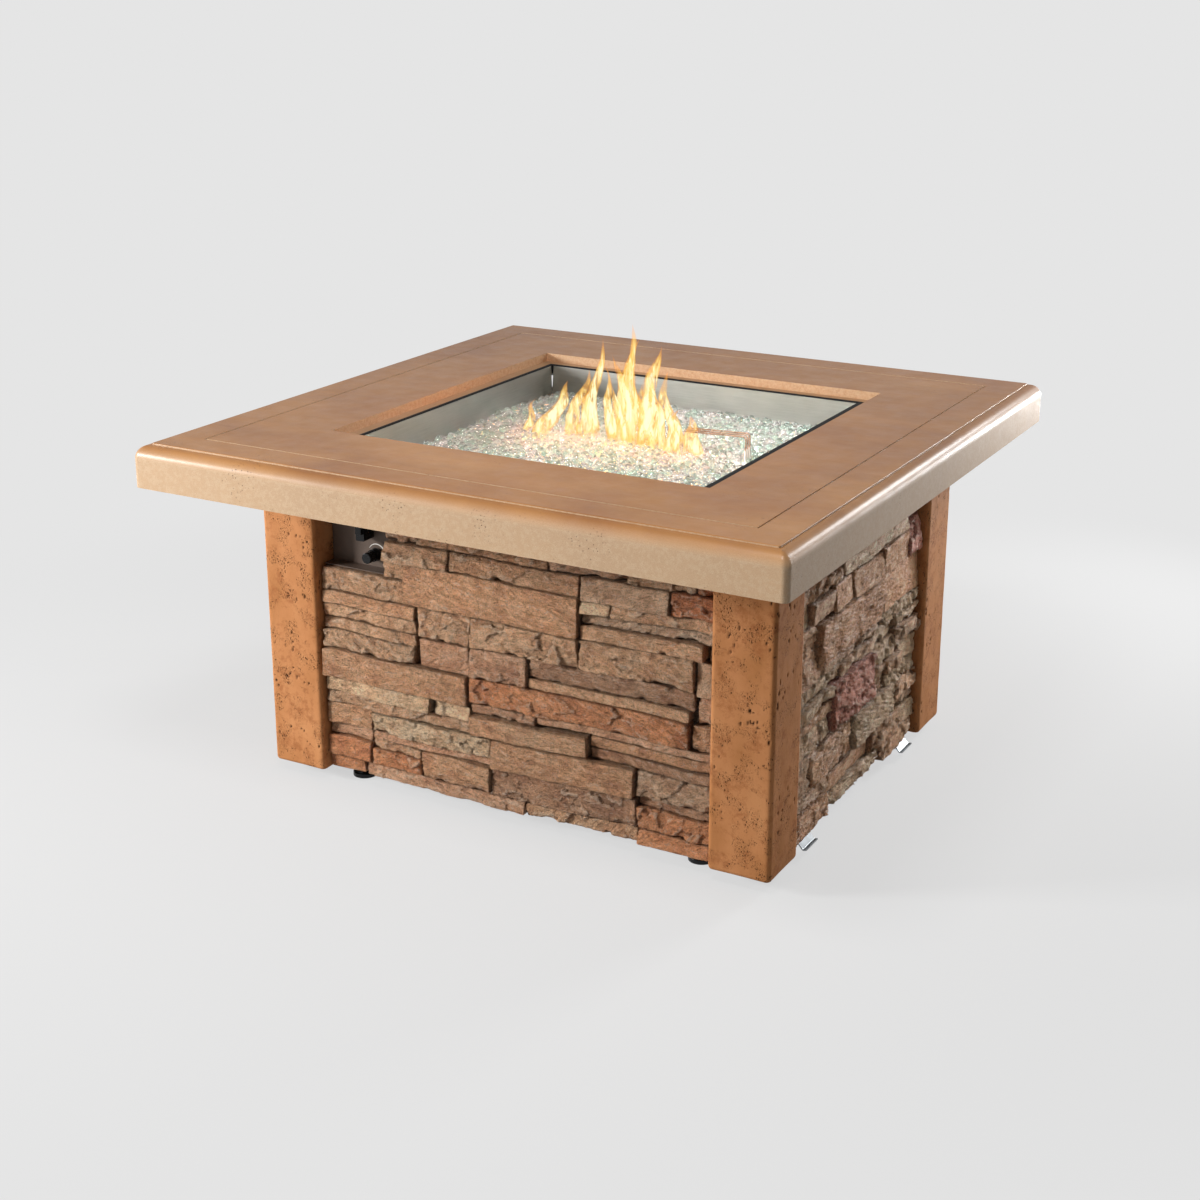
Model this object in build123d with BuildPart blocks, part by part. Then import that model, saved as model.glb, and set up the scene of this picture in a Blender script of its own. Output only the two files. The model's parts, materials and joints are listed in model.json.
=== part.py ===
"""Square gas fire pit table: cast top, drop-in burner, stacked-stone base with an access door.

Millimetres. The origin is on the floor under the middle of the table, +Z is up and the
controls face -Y. The access door is on the +X side.
"""
from build123d import *
import math
import os
import random

# ---------------------------------------------------------------- overall sizes
TOP_SIZE = 1118
TABLE_HEIGHT = 610
BASE_WIDTH = 926  # over the posts, along X
BASE_DEPTH = 740  # over the posts, along Y
FLOOR_GAP = 20  # under the posts

# ---------------------------------------------------------------- table top
APRON_HEIGHT = 70
APRON_THICKNESS = 34
SLAB_THICKNESS = 32
EDGE_STEP = 3
RIDGE_INSET = 22
BULLNOSE = 20
CORNER_RADIUS = 10
GROOVE_INSET = 79
GROOVE_WIDTH = 3
GROOVE_DEPTH = 2
OPENING = 675  # at the surface
LEDGE_DROP = 15
LEDGE_WIDTH = 19.5

# ---------------------------------------------------------------- burner
PAN_INNER = 618
PAN_WALL = 1.2
PAN_RIM_DROP = 16  # below the top's surface
PAN_DEPTH = 84
PAN_SEAM = 5  # open wedge at each folded corner, at the rim
PAN_SEAM_DEPTH = 56
SUPPORT_THICKNESS = 3
SUPPORT_REACH = 34  # outside the pan
SUPPORT_GAP = 1.8
RING_RADIUS = 140
RING_TUBE = 8
RING_WALL = 1.2
RING_LIFT = 14  # under the ring
PORT_RADIUS = 1.1
PORT_COUNT = 24
ARM_RADIUS = 6
HUB_RADIUS = 15
STUB_RADIUS = 10
STUB_LENGTH = 21
FEED_BORE = 7
LOCKNUT_SIZE = 30
LOCKNUT_THICKNESS = 8
MIXER_RADIUS = 13.5
MIXER_BORE = 8
MIXER_LENGTH = 52
AIR_SLOT = 12  # height of its two air windows
INLET_RADIUS = 8
INLET_REACH = 24
GLASS_EDGE_DROP = 61
GLASS_CROWN = 14
GLASS_CROWN_SIZE = 260
GLASS_CLEARANCE = 2  # round the burner and the pilot

# ---------------------------------------------------------------- pilot
PILOT_X = 235
PILOT_Y = 13.5
PILOT_RISE = 15  # rods' top run, below the table's surface
ROD_RADIUS = 1.2
ROD_SPACING = 11.5
ROD_BEND = 6
ROD_RUN = (-105, -15)
INSULATOR_RADIUS = 2.2
INSULATOR_LENGTH = 46
BRACKET_THICKNESS = 1.5
BRACKET_HEIGHT = 24
BRACKET_WIDTH = 36
BRACKET_DEPTH = 34
SHELF_WIDTH = 30
INSULATOR_DROP = 8  # below the bracket's shelf
GROMMET_RADIUS = 9
GROMMET_FLANGE = 12

# ---------------------------------------------------------------- base
POST_SIZE = 104
POST_WALL = 12
POST_ROUNDING = 7
PANEL_SETBACK = 16  # from a post's face to a plain stone's face
STONE_THICKNESS = 18
BACKER_THICKNESS = 16
PANEL_SIDE_GAP = 3
PANEL_LIFT = 6  # above the posts' feet
PANEL_TOP_DROP = 33  # below the slab's underside
MORTAR_JOINT = 2.4
RAIL = 25
RAIL_WALL = 2
LEG = 40
LEG_WALL = 2.5
TOP_RAIL_DROP = 23  # side rails, below the slab's underside
WIDE_RAIL_DROP = 4  # front and back rails, below the pan
BOTTOM_RAIL_LIFT = 32
PAD_THICKNESS = 3
CLEAT_WIDTH = 30
CLEAT_THICKNESS = 6
CLEAT_HEIGHTS = (130, 470)
SCREW_RADIUS = 2.5
SCREW_HEAD_RADIUS = 5
SCREW_HEAD_HEIGHT = 3
SCREW_BITE = 12
SCREW_INSET = 60
WIDE_SCREW_INSET = 150  # clear of the control recess
TRAY_THICKNESS = 2
TRAY_SLOT_LENGTH = 90
TRAY_SLOT_WIDTH = 10
TRAY_SLOT_PITCH = 40
TRAY_SLOTS = 12
TANK_X = 180
TANK_RING_INNER = 107
TANK_RING_WALL = 3
TANK_RING_HEIGHT = 25

# ---------------------------------------------------------------- feet
FOOT_X = 320
FOOT_RADIUS = 21
FOOT_PAD_HEIGHT = 8
FOOT_ROUNDING = 3
STUD_RADIUS = 5
STUD_LENGTH = 42
FOOT_NUT_SIZE = 17
FOOT_NUT_HEIGHT = 8

# ---------------------------------------------------------------- access door
DOOR_LIFT = 28
DOOR_TOP_DROP = 43  # below the slab's underside
ROD_AXIS_DROP = 22  # hanger rod, below the slab's underside
HANGER_RADIUS = 5
HANGER_LENGTH = 500
HOOK_THICKNESS = 3
HOOK_WIDTH = 30
HOOK_LENGTH = 86
HOOK_Y = 150
LUG_RADIUS = 9
LUG_WIDTH = 12
LUG_Y = 236
LUG_BASE = 4
DOOR_BAR = 30
DOOR_BAR_THICKNESS = 3
DOOR_FRAME_INSET = 23
DOOR_FRAME_LIFT = 37
DOOR_FRAME_GAP = 8  # under the top rail
TAB_Y = 210
TAB_WIDTH = 45
TAB_THICKNESS = 2
TAB_REACH = 1  # past the face of the posts
TAB_DROP = 12
TAB_FLAT = 16  # flat part ends this far inside the tip
TAB_LIP = 6
TAB_BEND = 2.5
TAB_SCREW_SPREAD = 25
TAB_SCREW_HEAD = 1.5

# ---------------------------------------------------------------- controls
RECESS_WIDTH = 122
RECESS_HEIGHT = 358  # of its floor, over the panel's foot
PLATE_THICKNESS = 1.5
PLATE_GAP = 2
PLATE_LIP = 24
PLATE_SCREW_SPREAD = 50
KNOB_X = -269
KNOB_DROP = 202
VALVE_WIDTH = 36
VALVE_LENGTH = 40
VALVE_HEIGHT = 34
VALVE_GAP = 2.5
NECK_RADIUS = 6
NECK_PROUD = 1
VALVE_CHAMFER = 4
BONNET_SIZE = 15.5
BONNET_THICKNESS = 3.5
STEM_RADIUS = 3
STEM_LENGTH = 49
STEM_CAP = 2  # of the knob, over the stem's end
KNOB_GAP = 4
KNOB_TRAVEL = 3
SKIRT_RADIUS = 11.5
SKIRT_HEIGHT = 9
SKIRT_TAPER = 8  # degrees
SKIRT_HOLLOW = 9.8
SKIRT_HOLLOW_DEPTH = 6
GRIP_RADIUS = 9
GRIP_LENGTH = 17
GRIP_ROUNDING = 1.2
FLUTE_COUNT = 14
FLUTE_RADIUS = 1.1
WASHER_RADIUS = 8.6
WASHER_THICKNESS = 0.8
SPRING_RADIUS = 6.9
SPRING_WIRE = 0.3
SPRING_TURNS = 3
OUTLET_RADIUS = 7
OUTLET_REACH = 26
OUTLET_RUN = 17.5
HOSE_RADIUS = 6
FLARE_RADIUS = 6.35
FLARE_LENGTH = 14
FLARE_HEX = 16
FLARE_HEX_LENGTH = 8
IGNITER_X = -282
IGNITER_DROP = 157
IGNITER_WIDTH = 16
IGNITER_HEIGHT = 36
IGNITER_DEPTH = 27
BUTTON_SIZE = 11.8
BUTTON_LENGTH = 14
BUTTON_PROUD = 5
BUTTON_TRAVEL = 4
IGNITER_NECK = 5
IGNITER_NECK_LENGTH = 16
IGNITER_NUT_SIZE = 14
IGNITER_NUT_THICKNESS = 4
IGNITER_ROUNDING = 1.5
THERMO_LEAD_RADIUS = 1.25
THERMO_LEAD_Y = -120
THERMO_LEAD_DROP = 15  # below the pan
SPARK_LEAD_RADIUS = 2
SPARK_LEAD_Y = -130
SPARK_LEAD_DROP = 10
LEAD_OFFSET = 4  # each side of the pilot's middle
LEAD_SLACK = 42  # behind the valve and the igniter
CLIP_X = (150, -50, -200)
CLIP_THICKNESS = 3
CLIP_LIP = 5

# ---------------------------------------------------------------- clearances
RUNNING = 0.05  # radial, where one piece turns or slides in another
FIT = 0.1  # radial, a screw or rod in its drilled hole
SEAT = 0.3  # between neighbours that don't touch
HOOK_FIT = 0.1

# ---------------------------------------------------------------- worked out
slab_underside = TABLE_HEIGHT - SLAB_THICKNESS
through_opening = OPENING - 2 * LEDGE_WIDTH
rim_z = TABLE_HEIGHT - PAN_RIM_DROP
pan_floor = rim_z - PAN_DEPTH
pan_under = pan_floor - PAN_WALL
pan_outer = PAN_INNER + 2 * PAN_WALL
half_x = BASE_WIDTH / 2
half_y = BASE_DEPTH / 2
face_to_slab = PANEL_SETBACK + STONE_THICKNESS
face_to_back = face_to_slab + BACKER_THICKNESS
face_to_rail = face_to_back + SEAT
rail_x = half_x - face_to_rail - RAIL / 2
rail_y = half_y - face_to_rail - RAIL / 2
side_rail_z = slab_underside - TOP_RAIL_DROP - RAIL / 2
wide_rail_z = pan_under - WIDE_RAIL_DROP - RAIL / 2
bottom_rail_z = BOTTOM_RAIL_LIFT + RAIL / 2
panel_foot = FLOOR_GAP + PANEL_LIFT
panel_top = slab_underside - PANEL_TOP_DROP
panel_width = BASE_WIDTH - 2 * POST_SIZE - 2 * PANEL_SIDE_GAP
side_width = BASE_DEPTH - 2 * POST_SIZE - 2 * PANEL_SIDE_GAP
panel_height = panel_top - panel_foot
door_top = slab_underside - DOOR_TOP_DROP
door_height = door_top - DOOR_LIFT
corners = [(sx, sy) for sx in (-1, 1) for sy in (-1, 1)]

os.makedirs("parts", exist_ok=True)


def write(builder, name):
    """Labels a finished sub-part and writes it as its own file."""
    builder.part.label = name
    export_step(builder.part, f"parts/{name}.step")


def corner_radii(points):
    """The largest even bends that a route through these points has room for."""
    radii = []
    for before, here, after in zip(points, points[1:], points[2:]):
        run_in = Vector(*here) - Vector(*before)
        run_out = Vector(*after) - Vector(*here)
        half_turn = math.radians(run_in.get_angle(run_out)) / 2
        radii.append(0.45 * min(run_in.length, run_out.length) / math.tan(half_turn))
    return radii


def lead(points, radius):
    """A round lead or hose along a route of straight runs and tangent bends."""
    with BuildPart() as tube:
        with BuildLine() as route:
            FilletPolyline(*points, radius=corner_radii(points))
        with BuildSketch(Plane(origin=route.line @ 0, z_dir=route.line % 0)):
            Circle(radius)
        sweep()
    length = sum(edge.length for edge in route.edges())
    expected = math.pi * radius**2 * length
    print(f"route {length:.0f} mm, volume {tube.part.volume / expected:.4f} of section x length")
    return tube


# ================================================================ table top
with BuildPart() as table_top:
    with BuildSketch(Plane.XY.offset(TABLE_HEIGHT - APRON_HEIGHT)):
        Rectangle(TOP_SIZE, TOP_SIZE)
    extrude(amount=APRON_HEIGHT - EDGE_STEP)
    fillet(table_top.faces().sort_by(Axis.Z)[-1].edges(), radius=BULLNOSE)
    fillet(table_top.edges().filter_by(Axis.Z), radius=CORNER_RADIUS)
    with BuildSketch(Plane.XY.offset(TABLE_HEIGHT - EDGE_STEP)):
        RectangleRounded(TOP_SIZE - 2 * RIDGE_INSET, TOP_SIZE - 2 * RIDGE_INSET, EDGE_STEP)
    extrude(amount=EDGE_STEP)
    fillet(table_top.faces().sort_by(Axis.Z)[-1].edges(), radius=EDGE_STEP / 2)
    with BuildSketch(Plane.XY.offset(TABLE_HEIGHT)):
        Rectangle(TOP_SIZE - 2 * GROOVE_INSET, TOP_SIZE - 2 * GROOVE_INSET)
        groove_inner = TOP_SIZE - 2 * GROOVE_INSET - 2 * GROOVE_WIDTH
        Rectangle(groove_inner, groove_inner, mode=Mode.SUBTRACT)
    extrude(amount=-GROOVE_DEPTH, mode=Mode.SUBTRACT)
    with BuildSketch(Plane.XY.offset(TABLE_HEIGHT)):
        Rectangle(OPENING, OPENING)
    extrude(amount=-LEDGE_DROP, mode=Mode.SUBTRACT)
    with BuildSketch(Plane.XY.offset(TABLE_HEIGHT)):
        Rectangle(through_opening, through_opening)
    extrude(amount=-APRON_HEIGHT, mode=Mode.SUBTRACT)
    with BuildSketch(Plane.XY.offset(slab_underside)):
        Rectangle(TOP_SIZE - 2 * APRON_THICKNESS, TOP_SIZE - 2 * APRON_THICKNESS)
    extrude(amount=-APRON_HEIGHT, mode=Mode.SUBTRACT)
    support_outer = pan_outer + 2 * SUPPORT_REACH
    support_screws = pan_outer + 1.4 * SUPPORT_REACH
    with Locations(Plane.XY.offset(slab_underside)):
        with GridLocations(support_screws, support_screws, 2, 2):
            Hole(SCREW_RADIUS + FIT, depth=SCREW_BITE)
write(table_top, "table_top")

with BuildPart() as pan_support_ring:
    with BuildSketch(Plane.XY.offset(slab_underside - SUPPORT_THICKNESS)):
        Rectangle(support_outer, support_outer)
        support_inner = pan_outer + 2 * SUPPORT_GAP
        Rectangle(support_inner, support_inner, mode=Mode.SUBTRACT)
    extrude(amount=SUPPORT_THICKNESS)
    with Locations(Plane.XY.offset(slab_underside)):
        with GridLocations(support_screws, support_screws, 2, 2):
            Hole(SCREW_RADIUS + FIT)
write(pan_support_ring, "pan_support_ring")

with BuildPart() as pan_screws:
    head_z = slab_underside - SUPPORT_THICKNESS
    with Locations((0, 0, head_z - SCREW_HEAD_HEIGHT)):
        with GridLocations(support_screws, support_screws, 2, 2):
            Cylinder(SCREW_HEAD_RADIUS, SCREW_HEAD_HEIGHT, align=(Align.CENTER, Align.CENTER, Align.MIN))
    with Locations((0, 0, head_z)):
        with GridLocations(support_screws, support_screws, 2, 2):
            Cylinder(
                SCREW_RADIUS,
                SUPPORT_THICKNESS + SCREW_BITE - SEAT,
                align=(Align.CENTER, Align.CENTER, Align.MIN),
            )
write(pan_screws, "pan_screws")

# ================================================================ burner pan and gasket
flange_outer = through_opening - 2
with BuildPart() as burner_pan:
    with BuildSketch(Plane.XY.offset(pan_under)):
        Rectangle(pan_outer, pan_outer)
    extrude(amount=rim_z - pan_under)
    with BuildSketch(Plane.XY.offset(pan_floor)):
        Rectangle(PAN_INNER, PAN_INNER)
    extrude(amount=PAN_DEPTH, mode=Mode.SUBTRACT)
    with BuildSketch(Plane.XY.offset(slab_underside)):
        Rectangle(flange_outer, flange_outer)
        Rectangle(PAN_INNER, PAN_INNER, mode=Mode.SUBTRACT)
    extrude(amount=PAN_WALL)
    for side in (-1, 1):
        with BuildSketch(Plane(origin=(0, 0, rim_z), x_dir=(-side, 1, 0), z_dir=(1, side, 0))):
            with BuildLine():
                Polyline((-PAN_SEAM / 2, 0), (PAN_SEAM / 2, 0), (0, -PAN_SEAM_DEPTH), close=True)
            make_face()
        extrude(amount=TOP_SIZE / 2, both=True, mode=Mode.SUBTRACT)
    with Locations((0, 0, pan_under)):
        Cylinder(STUB_RADIUS + FIT, 4 * PAN_WALL, mode=Mode.SUBTRACT)
    with Locations((PILOT_X, PILOT_Y, pan_under)):
        Cylinder(GROMMET_RADIUS + FIT, 4 * PAN_WALL, mode=Mode.SUBTRACT)
write(burner_pan, "burner_pan")

with BuildPart() as heat_gasket:
    with BuildSketch(Plane.XY.offset(slab_underside + PAN_WALL)):
        Rectangle(through_opening - 2 * FIT, through_opening - 2 * FIT)
        Rectangle(pan_outer + 2 * FIT, pan_outer + 2 * FIT, mode=Mode.SUBTRACT)
    extrude(amount=rim_z - slab_underside - PAN_WALL)
write(heat_gasket, "heat_gasket")

# ================================================================ burner
ring_z = pan_floor + RING_LIFT + RING_TUBE
with BuildPart() as burner_ring:
    with Locations((0, 0, ring_z)):
        Torus(RING_RADIUS, RING_TUBE)
        Torus(RING_RADIUS, RING_TUBE - RING_WALL, mode=Mode.SUBTRACT)
    with Locations((0, 0, ring_z + RING_TUBE)):
        with PolarLocations(RING_RADIUS, PORT_COUNT):
            Cylinder(PORT_RADIUS, 3 * RING_WALL, mode=Mode.SUBTRACT)
write(burner_ring, "burner_ring")

with BuildPart() as burner_feed:
    with Locations((0, 0, pan_floor)):
        Cylinder(HUB_RADIUS, RING_LIFT + 2 * RING_TUBE, align=(Align.CENTER, Align.CENTER, Align.MIN))
    with Locations((0, 0, pan_floor - STUB_LENGTH)):
        Cylinder(STUB_RADIUS, STUB_LENGTH, align=(Align.CENTER, Align.CENTER, Align.MIN))
    for direction in (Plane.YZ, Plane.XZ):
        with BuildSketch(direction):
            with Locations((0, ring_z)):
                Circle(ARM_RADIUS)
        extrude(amount=RING_RADIUS - RING_TUBE - SEAT, both=True)
    with Locations((0, 0, pan_floor - STUB_LENGTH)):
        Cylinder(
            FEED_BORE,
            STUB_LENGTH + RING_LIFT + RING_TUBE,
            align=(Align.CENTER, Align.CENTER, Align.MIN),
            mode=Mode.SUBTRACT,
        )
write(burner_feed, "burner_feed")

with BuildPart() as burner_locknut:
    with BuildSketch(Plane.XY.offset(pan_under - LOCKNUT_THICKNESS)):
        RegularPolygon(LOCKNUT_SIZE / 2, 6, major_radius=False)
        Circle(STUB_RADIUS + FIT, mode=Mode.SUBTRACT)
    extrude(amount=LOCKNUT_THICKNESS)
write(burner_locknut, "burner_locknut")

mixer_top = pan_under - LOCKNUT_THICKNESS
mixer_foot = mixer_top - MIXER_LENGTH
inlet_z = mixer_foot + INLET_RADIUS
stub_foot = pan_floor - STUB_LENGTH
with BuildPart() as air_mixer:
    with Locations((0, 0, mixer_foot)):
        Cylinder(MIXER_RADIUS, MIXER_LENGTH, align=(Align.CENTER, Align.CENTER, Align.MIN))
    with BuildSketch(Plane.YZ):
        with Locations((0, inlet_z)):
            Circle(INLET_RADIUS)
    extrude(amount=-INLET_REACH)
    with Locations((0, 0, stub_foot - SEAT)):
        Cylinder(
            STUB_RADIUS + FIT,
            mixer_top - stub_foot + SEAT,
            align=(Align.CENTER, Align.CENTER, Align.MIN),
            mode=Mode.SUBTRACT,
        )
    with Locations((0, 0, mixer_foot + 2 * INLET_RADIUS)):
        Cylinder(MIXER_BORE, MIXER_LENGTH, align=(Align.CENTER, Align.CENTER, Align.MIN), mode=Mode.SUBTRACT)
    with Locations((0, 0, mixer_foot + 2 * INLET_RADIUS + AIR_SLOT)):
        Box(3 * MIXER_RADIUS, MIXER_BORE, AIR_SLOT, mode=Mode.SUBTRACT)
        Box(MIXER_BORE, 3 * MIXER_RADIUS, AIR_SLOT, mode=Mode.SUBTRACT)
write(air_mixer, "air_mixer")

# ================================================================ pilot
run_length = math.hypot(*ROD_RUN)
across = Vector(-ROD_RUN[1] / run_length, ROD_RUN[0] / run_length) * ROD_SPACING
rod_places = [Vector(PILOT_X, PILOT_Y) + across * step for step in (-1, 0, 1)]
shelf_z = pan_floor + BRACKET_HEIGHT
with BuildPart() as pilot_bracket:
    with BuildSketch(Plane.XY.offset(pan_floor + BRACKET_THICKNESS)):
        with Locations((PILOT_X, PILOT_Y)):
            Rectangle(BRACKET_WIDTH, BRACKET_DEPTH)
            Circle(GROMMET_RADIUS, mode=Mode.SUBTRACT)
    extrude(amount=BRACKET_THICKNESS)
    bracket_side = PILOT_X + BRACKET_WIDTH / 2
    with Locations((bracket_side, PILOT_Y, pan_floor + BRACKET_THICKNESS)):
        Box(BRACKET_THICKNESS, BRACKET_DEPTH, BRACKET_HEIGHT, align=(Align.MAX, Align.CENTER, Align.MIN))
    with BuildSketch(Plane.XY.offset(shelf_z)):
        with Locations((bracket_side - SHELF_WIDTH / 2, PILOT_Y)):
            Rectangle(SHELF_WIDTH, BRACKET_DEPTH)
        with Locations(*[(place.X, place.Y) for place in rod_places]):
            Circle(INSULATOR_RADIUS + FIT, mode=Mode.SUBTRACT)
    extrude(amount=BRACKET_THICKNESS)
write(pilot_bracket, "pilot_bracket")

with BuildPart() as pilot_insulators:
    with Locations(*[(place.X, place.Y, shelf_z - INSULATOR_DROP) for place in rod_places]):
        Cylinder(INSULATOR_RADIUS, INSULATOR_LENGTH, align=(Align.CENTER, Align.CENTER, Align.MIN))
        Cylinder(ROD_RADIUS + RUNNING, INSULATOR_LENGTH,
                 align=(Align.CENTER, Align.CENTER, Align.MIN), mode=Mode.SUBTRACT)
write(pilot_insulators, "pilot_insulators")

rod_top = TABLE_HEIGHT - PILOT_RISE
for name, place in zip(("spark_electrode", "flame_rod", "thermocouple_rod"), rod_places):
    with BuildPart() as rod:
        with BuildLine() as bent:
            FilletPolyline(
                (place.X, place.Y, shelf_z - INSULATOR_DROP),
                (place.X, place.Y, rod_top),
                (place.X + ROD_RUN[0], place.Y + ROD_RUN[1], rod_top),
                radius=ROD_BEND,
            )
        with BuildSketch(Plane(origin=bent.line @ 0, z_dir=bent.line % 0)):
            Circle(ROD_RADIUS)
        sweep()
    write(rod, name)

with BuildPart() as lead_grommet:
    with Locations((PILOT_X, PILOT_Y, pan_under - BRACKET_THICKNESS)):
        Cylinder(GROMMET_FLANGE, BRACKET_THICKNESS, align=(Align.CENTER, Align.CENTER, Align.MIN))
        Cylinder(GROMMET_RADIUS, 2 * BRACKET_THICKNESS + PAN_WALL,
                 align=(Align.CENTER, Align.CENTER, Align.MIN))
    with Locations((PILOT_X, PILOT_Y, pan_floor)):
        Cylinder(GROMMET_FLANGE, BRACKET_THICKNESS, align=(Align.CENTER, Align.CENTER, Align.MIN))
    with Locations((PILOT_X - LEAD_OFFSET, PILOT_Y, pan_floor)):
        Cylinder(THERMO_LEAD_RADIUS + FIT, GROMMET_FLANGE, mode=Mode.SUBTRACT)
    with Locations((PILOT_X + LEAD_OFFSET, PILOT_Y, pan_floor)):
        Cylinder(SPARK_LEAD_RADIUS + FIT, GROMMET_FLANGE, mode=Mode.SUBTRACT)
write(lead_grommet, "lead_grommet")

# ================================================================ fire glass
glass_edge = TABLE_HEIGHT - GLASS_EDGE_DROP
with BuildPart() as fire_glass_bed:
    glass_size = PAN_INNER - 2 * SEAT
    with BuildSketch(Plane.XY.offset(pan_floor + SEAT)):
        Rectangle(glass_size, glass_size)
    extrude(amount=glass_edge - pan_floor - SEAT)
    with BuildSketch(Plane.XY.offset(glass_edge)):
        Rectangle(glass_size, glass_size)
    with BuildSketch(Plane.XY.offset(glass_edge + GLASS_CROWN)):
        Rectangle(GLASS_CROWN_SIZE, GLASS_CROWN_SIZE)
    loft()
    with Locations((0, 0, pan_floor)):
        Cylinder(
            RING_RADIUS + RING_TUBE + GLASS_CLEARANCE,
            RING_LIFT + 2 * RING_TUBE + GLASS_CLEARANCE,
            align=(Align.CENTER, Align.CENTER, Align.MIN),
            mode=Mode.SUBTRACT,
        )
    with Locations((PILOT_X, PILOT_Y, pan_floor)):
        Box(
            BRACKET_WIDTH + 2 * GLASS_CLEARANCE,
            BRACKET_DEPTH + 2 * GLASS_CLEARANCE,
            PAN_DEPTH,
            align=(Align.CENTER, Align.CENTER, Align.MIN),
            mode=Mode.SUBTRACT,
        )
write(fire_glass_bed, "fire_glass_bed")

# ================================================================ steel frame
leg_top = slab_underside - PAD_THICKNESS
leg_foot = FLOOR_GAP + POST_ROUNDING
with BuildPart() as frame_legs:
    with BuildSketch(Plane.XY.offset(leg_foot)):
        with GridLocations(2 * rail_x, 2 * rail_y, 2, 2):
            Rectangle(LEG, LEG)
            Rectangle(LEG - 2 * LEG_WALL, LEG - 2 * LEG_WALL, mode=Mode.SUBTRACT)
    extrude(amount=leg_top - leg_foot)
write(frame_legs, "frame_legs")

with BuildPart() as leg_pads:
    with BuildSketch(Plane.XY.offset(leg_top)):
        with GridLocations(2 * rail_x, 2 * rail_y, 2, 2):
            Rectangle(LEG, LEG)
    extrude(amount=PAD_THICKNESS)
write(leg_pads, "leg_pads")

front_run = rail_x - LEG / 2
side_run = rail_y - LEG / 2
screw_spread_front = panel_width - 2 * WIDE_SCREW_INSET
screw_spread_side = side_width - 2 * SCREW_INSET
plate_screw_x = (KNOB_X - PLATE_SCREW_SPREAD / 2, KNOB_X + PLATE_SCREW_SPREAD / 2)
rail_sets = (("top_rails", wide_rail_z, side_rail_z), ("bottom_rails", bottom_rail_z, bottom_rail_z))
for name, wide_z, side_z in rail_sets:
    with BuildPart() as rails:
        with BuildSketch(Plane.YZ):
            with Locations((-rail_y, wide_z), (rail_y, wide_z)):
                Rectangle(RAIL, RAIL)
                Rectangle(RAIL - 2 * RAIL_WALL, RAIL - 2 * RAIL_WALL, mode=Mode.SUBTRACT)
        extrude(amount=front_run, both=True)
        with BuildSketch(Plane.XZ):
            with Locations((-rail_x, side_z), (rail_x, side_z)):
                Rectangle(RAIL, RAIL)
                Rectangle(RAIL - 2 * RAIL_WALL, RAIL - 2 * RAIL_WALL, mode=Mode.SUBTRACT)
        extrude(amount=side_run, both=True)
        for side in (-1, 1):
            with BuildSketch(Plane.XZ):
                with Locations((side * screw_spread_front / 2, wide_z)):
                    Circle(SCREW_RADIUS + FIT)
            extrude(amount=half_y, both=True, mode=Mode.SUBTRACT)
            with BuildSketch(Plane.YZ):
                with Locations((side * screw_spread_side / 2, side_z)):
                    Circle(SCREW_RADIUS + FIT)
            extrude(amount=-half_x, mode=Mode.SUBTRACT)
        if name == "top_rails":
            with BuildSketch(Plane.XZ):
                with Locations(*[(x, wide_z) for x in plate_screw_x]):
                    Circle(SCREW_RADIUS + FIT)
            extrude(amount=half_y, mode=Mode.SUBTRACT)
        else:
            with Locations((0, 0, side_z - RAIL / 2)):
                with GridLocations(2 * FOOT_X, 2 * rail_y, 2, 2):
                    Cylinder(STUD_RADIUS + 4 * FIT, 3 * RAIL_WALL, mode=Mode.SUBTRACT)
    write(rails, name)

# The panels' screws run from inside, through a rail, into the backs of the three fixed panels.
with BuildPart() as panel_screws:
    shank = RAIL + SCREW_BITE
    inner_x = -(rail_x - RAIL / 2)
    for _, wide_z, side_z in rail_sets:
        wide_spots = [(side * screw_spread_front / 2, wide_z) for side in (-1, 1)]
        side_spots = [(side * screw_spread_side / 2, side_z) for side in (-1, 1)]
        for facing in (-1, 1):
            inner_y = facing * (rail_y - RAIL / 2)
            with BuildSketch(Plane.XZ.offset(-inner_y)):
                with Locations(*wide_spots):
                    Circle(SCREW_RADIUS)
            extrude(amount=-facing * shank)
            with BuildSketch(Plane.XZ.offset(-inner_y)):
                with Locations(*wide_spots):
                    Circle(SCREW_HEAD_RADIUS)
            extrude(amount=facing * SCREW_HEAD_HEIGHT)
        with BuildSketch(Plane.YZ.offset(inner_x)):
            with Locations(*side_spots):
                Circle(SCREW_RADIUS)
        extrude(amount=-shank)
        with BuildSketch(Plane.YZ.offset(inner_x)):
            with Locations(*side_spots):
                Circle(SCREW_HEAD_RADIUS)
        extrude(amount=SCREW_HEAD_HEIGHT)
write(panel_screws, "panel_screws")

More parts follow.
